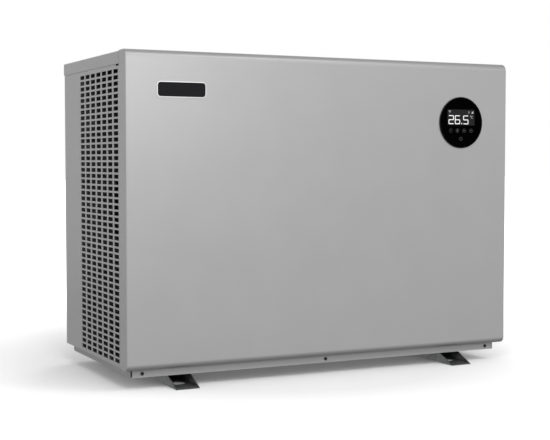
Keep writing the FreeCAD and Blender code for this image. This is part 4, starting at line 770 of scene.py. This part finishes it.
class HEATPUMP_OT_stage(bpy.types.Operator):
    """Pale floor, grey flag, soft lights and the camera"""
    bl_idname = "heatpump.stage"
    bl_label = "Stage"

    def execute(self, context):
        self.floor()
        self.flag()
        self.lights(context.scene)
        self.camera(context.scene)
        return {"FINISHED"}

    def floor(self):
        """A pale floor that glows more with distance. Its dim glow near the cabinet is painted shade around
        the base. It lights nothing above it.
        """
        deselect_all()
        bpy.ops.mesh.primitive_plane_add(size=FLOOR_SIZE, location=(0, 0, -0.0005))
        floor = bpy.context.active_object
        floor.name = "floor"
        pale = new_material("pale_floor", (0.8, 0.8, 0.8), 0.8)
        shader = pale.node_tree.nodes["Principled BSDF"]
        shader.inputs["Specular IOR Level"].default_value = 0
        shader.inputs["Emission Color"].default_value = (1, 1, 1, 1)
        place = add_node(pale, "ShaderNodeTexCoord")
        reach = add_node(pale, "ShaderNodeVectorMath")
        reach.operation = "LENGTH"
        # The glow rises with distance from the cabinet: painted shade on the floor near its base.
        glow = add_node(pale, "ShaderNodeMapRange")
        for name, value in zip(("From Min", "From Max", "To Min", "To Max"), (*FLOOR_SHADE_REACH, *FLOOR_GLOW_AND_SHADE)):
            glow.inputs[name].default_value = value
        join(pale, place, "Object", reach, 0)
        join(pale, reach, "Value", glow, "Value")
        join(pale, glow, "Result", shader, "Emission Strength")
        speck = object_pattern(pale, "ShaderNodeTexNoise", Scale=40.0, Detail=3.0)
        vary_colour(pale, speck, "Fac", (0.795, 0.795, 0.795), (0.805, 0.805, 0.805))
        floor.data.materials.append(pale)
        floor.visible_diffuse = False
        floor.visible_glossy = False

    def flag(self):
        """A grey card behind on the left, which darkens what the cabinet's side reflects."""
        place, (width, height) = FLAG
        deselect_all()
        bpy.ops.mesh.primitive_plane_add(size=1, location=place, rotation=(math.pi / 2, 0, 0))
        card = bpy.context.active_object
        card.name = "flag"
        card.scale = (width, height, 1)
        bpy.ops.object.transform_apply(location=False, rotation=False, scale=True)
        grey = new_material("flag_grey", (0.8, 0.8, 0.8), 0.9)
        weave = object_pattern(grey, "ShaderNodeTexNoise", Scale=60.0)
        vary_colour(grey, weave, "Fac", (0.78, 0.78, 0.78), (0.82, 0.82, 0.82))
        card.data.materials.append(grey)
        card.visible_camera = False

    def lights(self, scene):
        sky(scene, SKY)
        for light in LIGHTS:
            area_light(*light)
        scene.view_settings.view_transform = "Standard"

    def camera(self, scene):
        lens = bpy.data.cameras.new("camera")
        lens.sensor_width = CAMERA_SENSOR
        lens.lens = CAMERA_LENS
        view = bpy.data.objects.new("camera", lens)
        view.location = CAMERA_PLACE
        view.rotation_euler = (math.radians(90 + CAMERA_PITCH), 0, math.radians(CAMERA_YAW))
        bpy.context.collection.objects.link(view)
        scene.camera = view


# ---- panel and registration --------------------------------------------------------------------

OPERATORS = (HEATPUMP_OT_cabinet, HEATPUMP_OT_workings, HEATPUMP_OT_display, HEATPUMP_OT_name_plate,
             HEATPUMP_OT_screws, HEATPUMP_OT_fins, HEATPUMP_OT_stage)


class HEATPUMP_PT_sidebar(bpy.types.Panel):
    """Sidebar with each step and its settings"""
    bl_idname = "HEATPUMP_PT_sidebar"
    bl_label = "Heat Pump"
    bl_space_type = "VIEW_3D"
    bl_region_type = "UI"
    bl_category = "Heat Pump"

    def draw(self, context):
        for settings in (context.scene.heatpump_colours, context.scene.heatpump_sizes):
            for name in settings.__annotations__:
                self.layout.prop(settings, name)
        for operator in OPERATORS:
            self.layout.operator(operator.bl_idname)


CLASSES = (HeatPumpColours, HeatPumpSizes, *OPERATORS, HEATPUMP_PT_sidebar)


def register():
    for item in CLASSES:
        bpy.utils.register_class(item)
    bpy.types.Scene.heatpump_colours = PointerProperty(type=HeatPumpColours)
    bpy.types.Scene.heatpump_sizes = PointerProperty(type=HeatPumpSizes)


def unregister():
    del bpy.types.Scene.heatpump_sizes
    del bpy.types.Scene.heatpump_colours
    for item in reversed(CLASSES):
        bpy.utils.unregister_class(item)


def main():
    register()
    for operator in OPERATORS:
        group, name = operator.bl_idname.split(".")
        getattr(getattr(bpy.ops, group), name)()


if __name__ == "__main__":
    main()
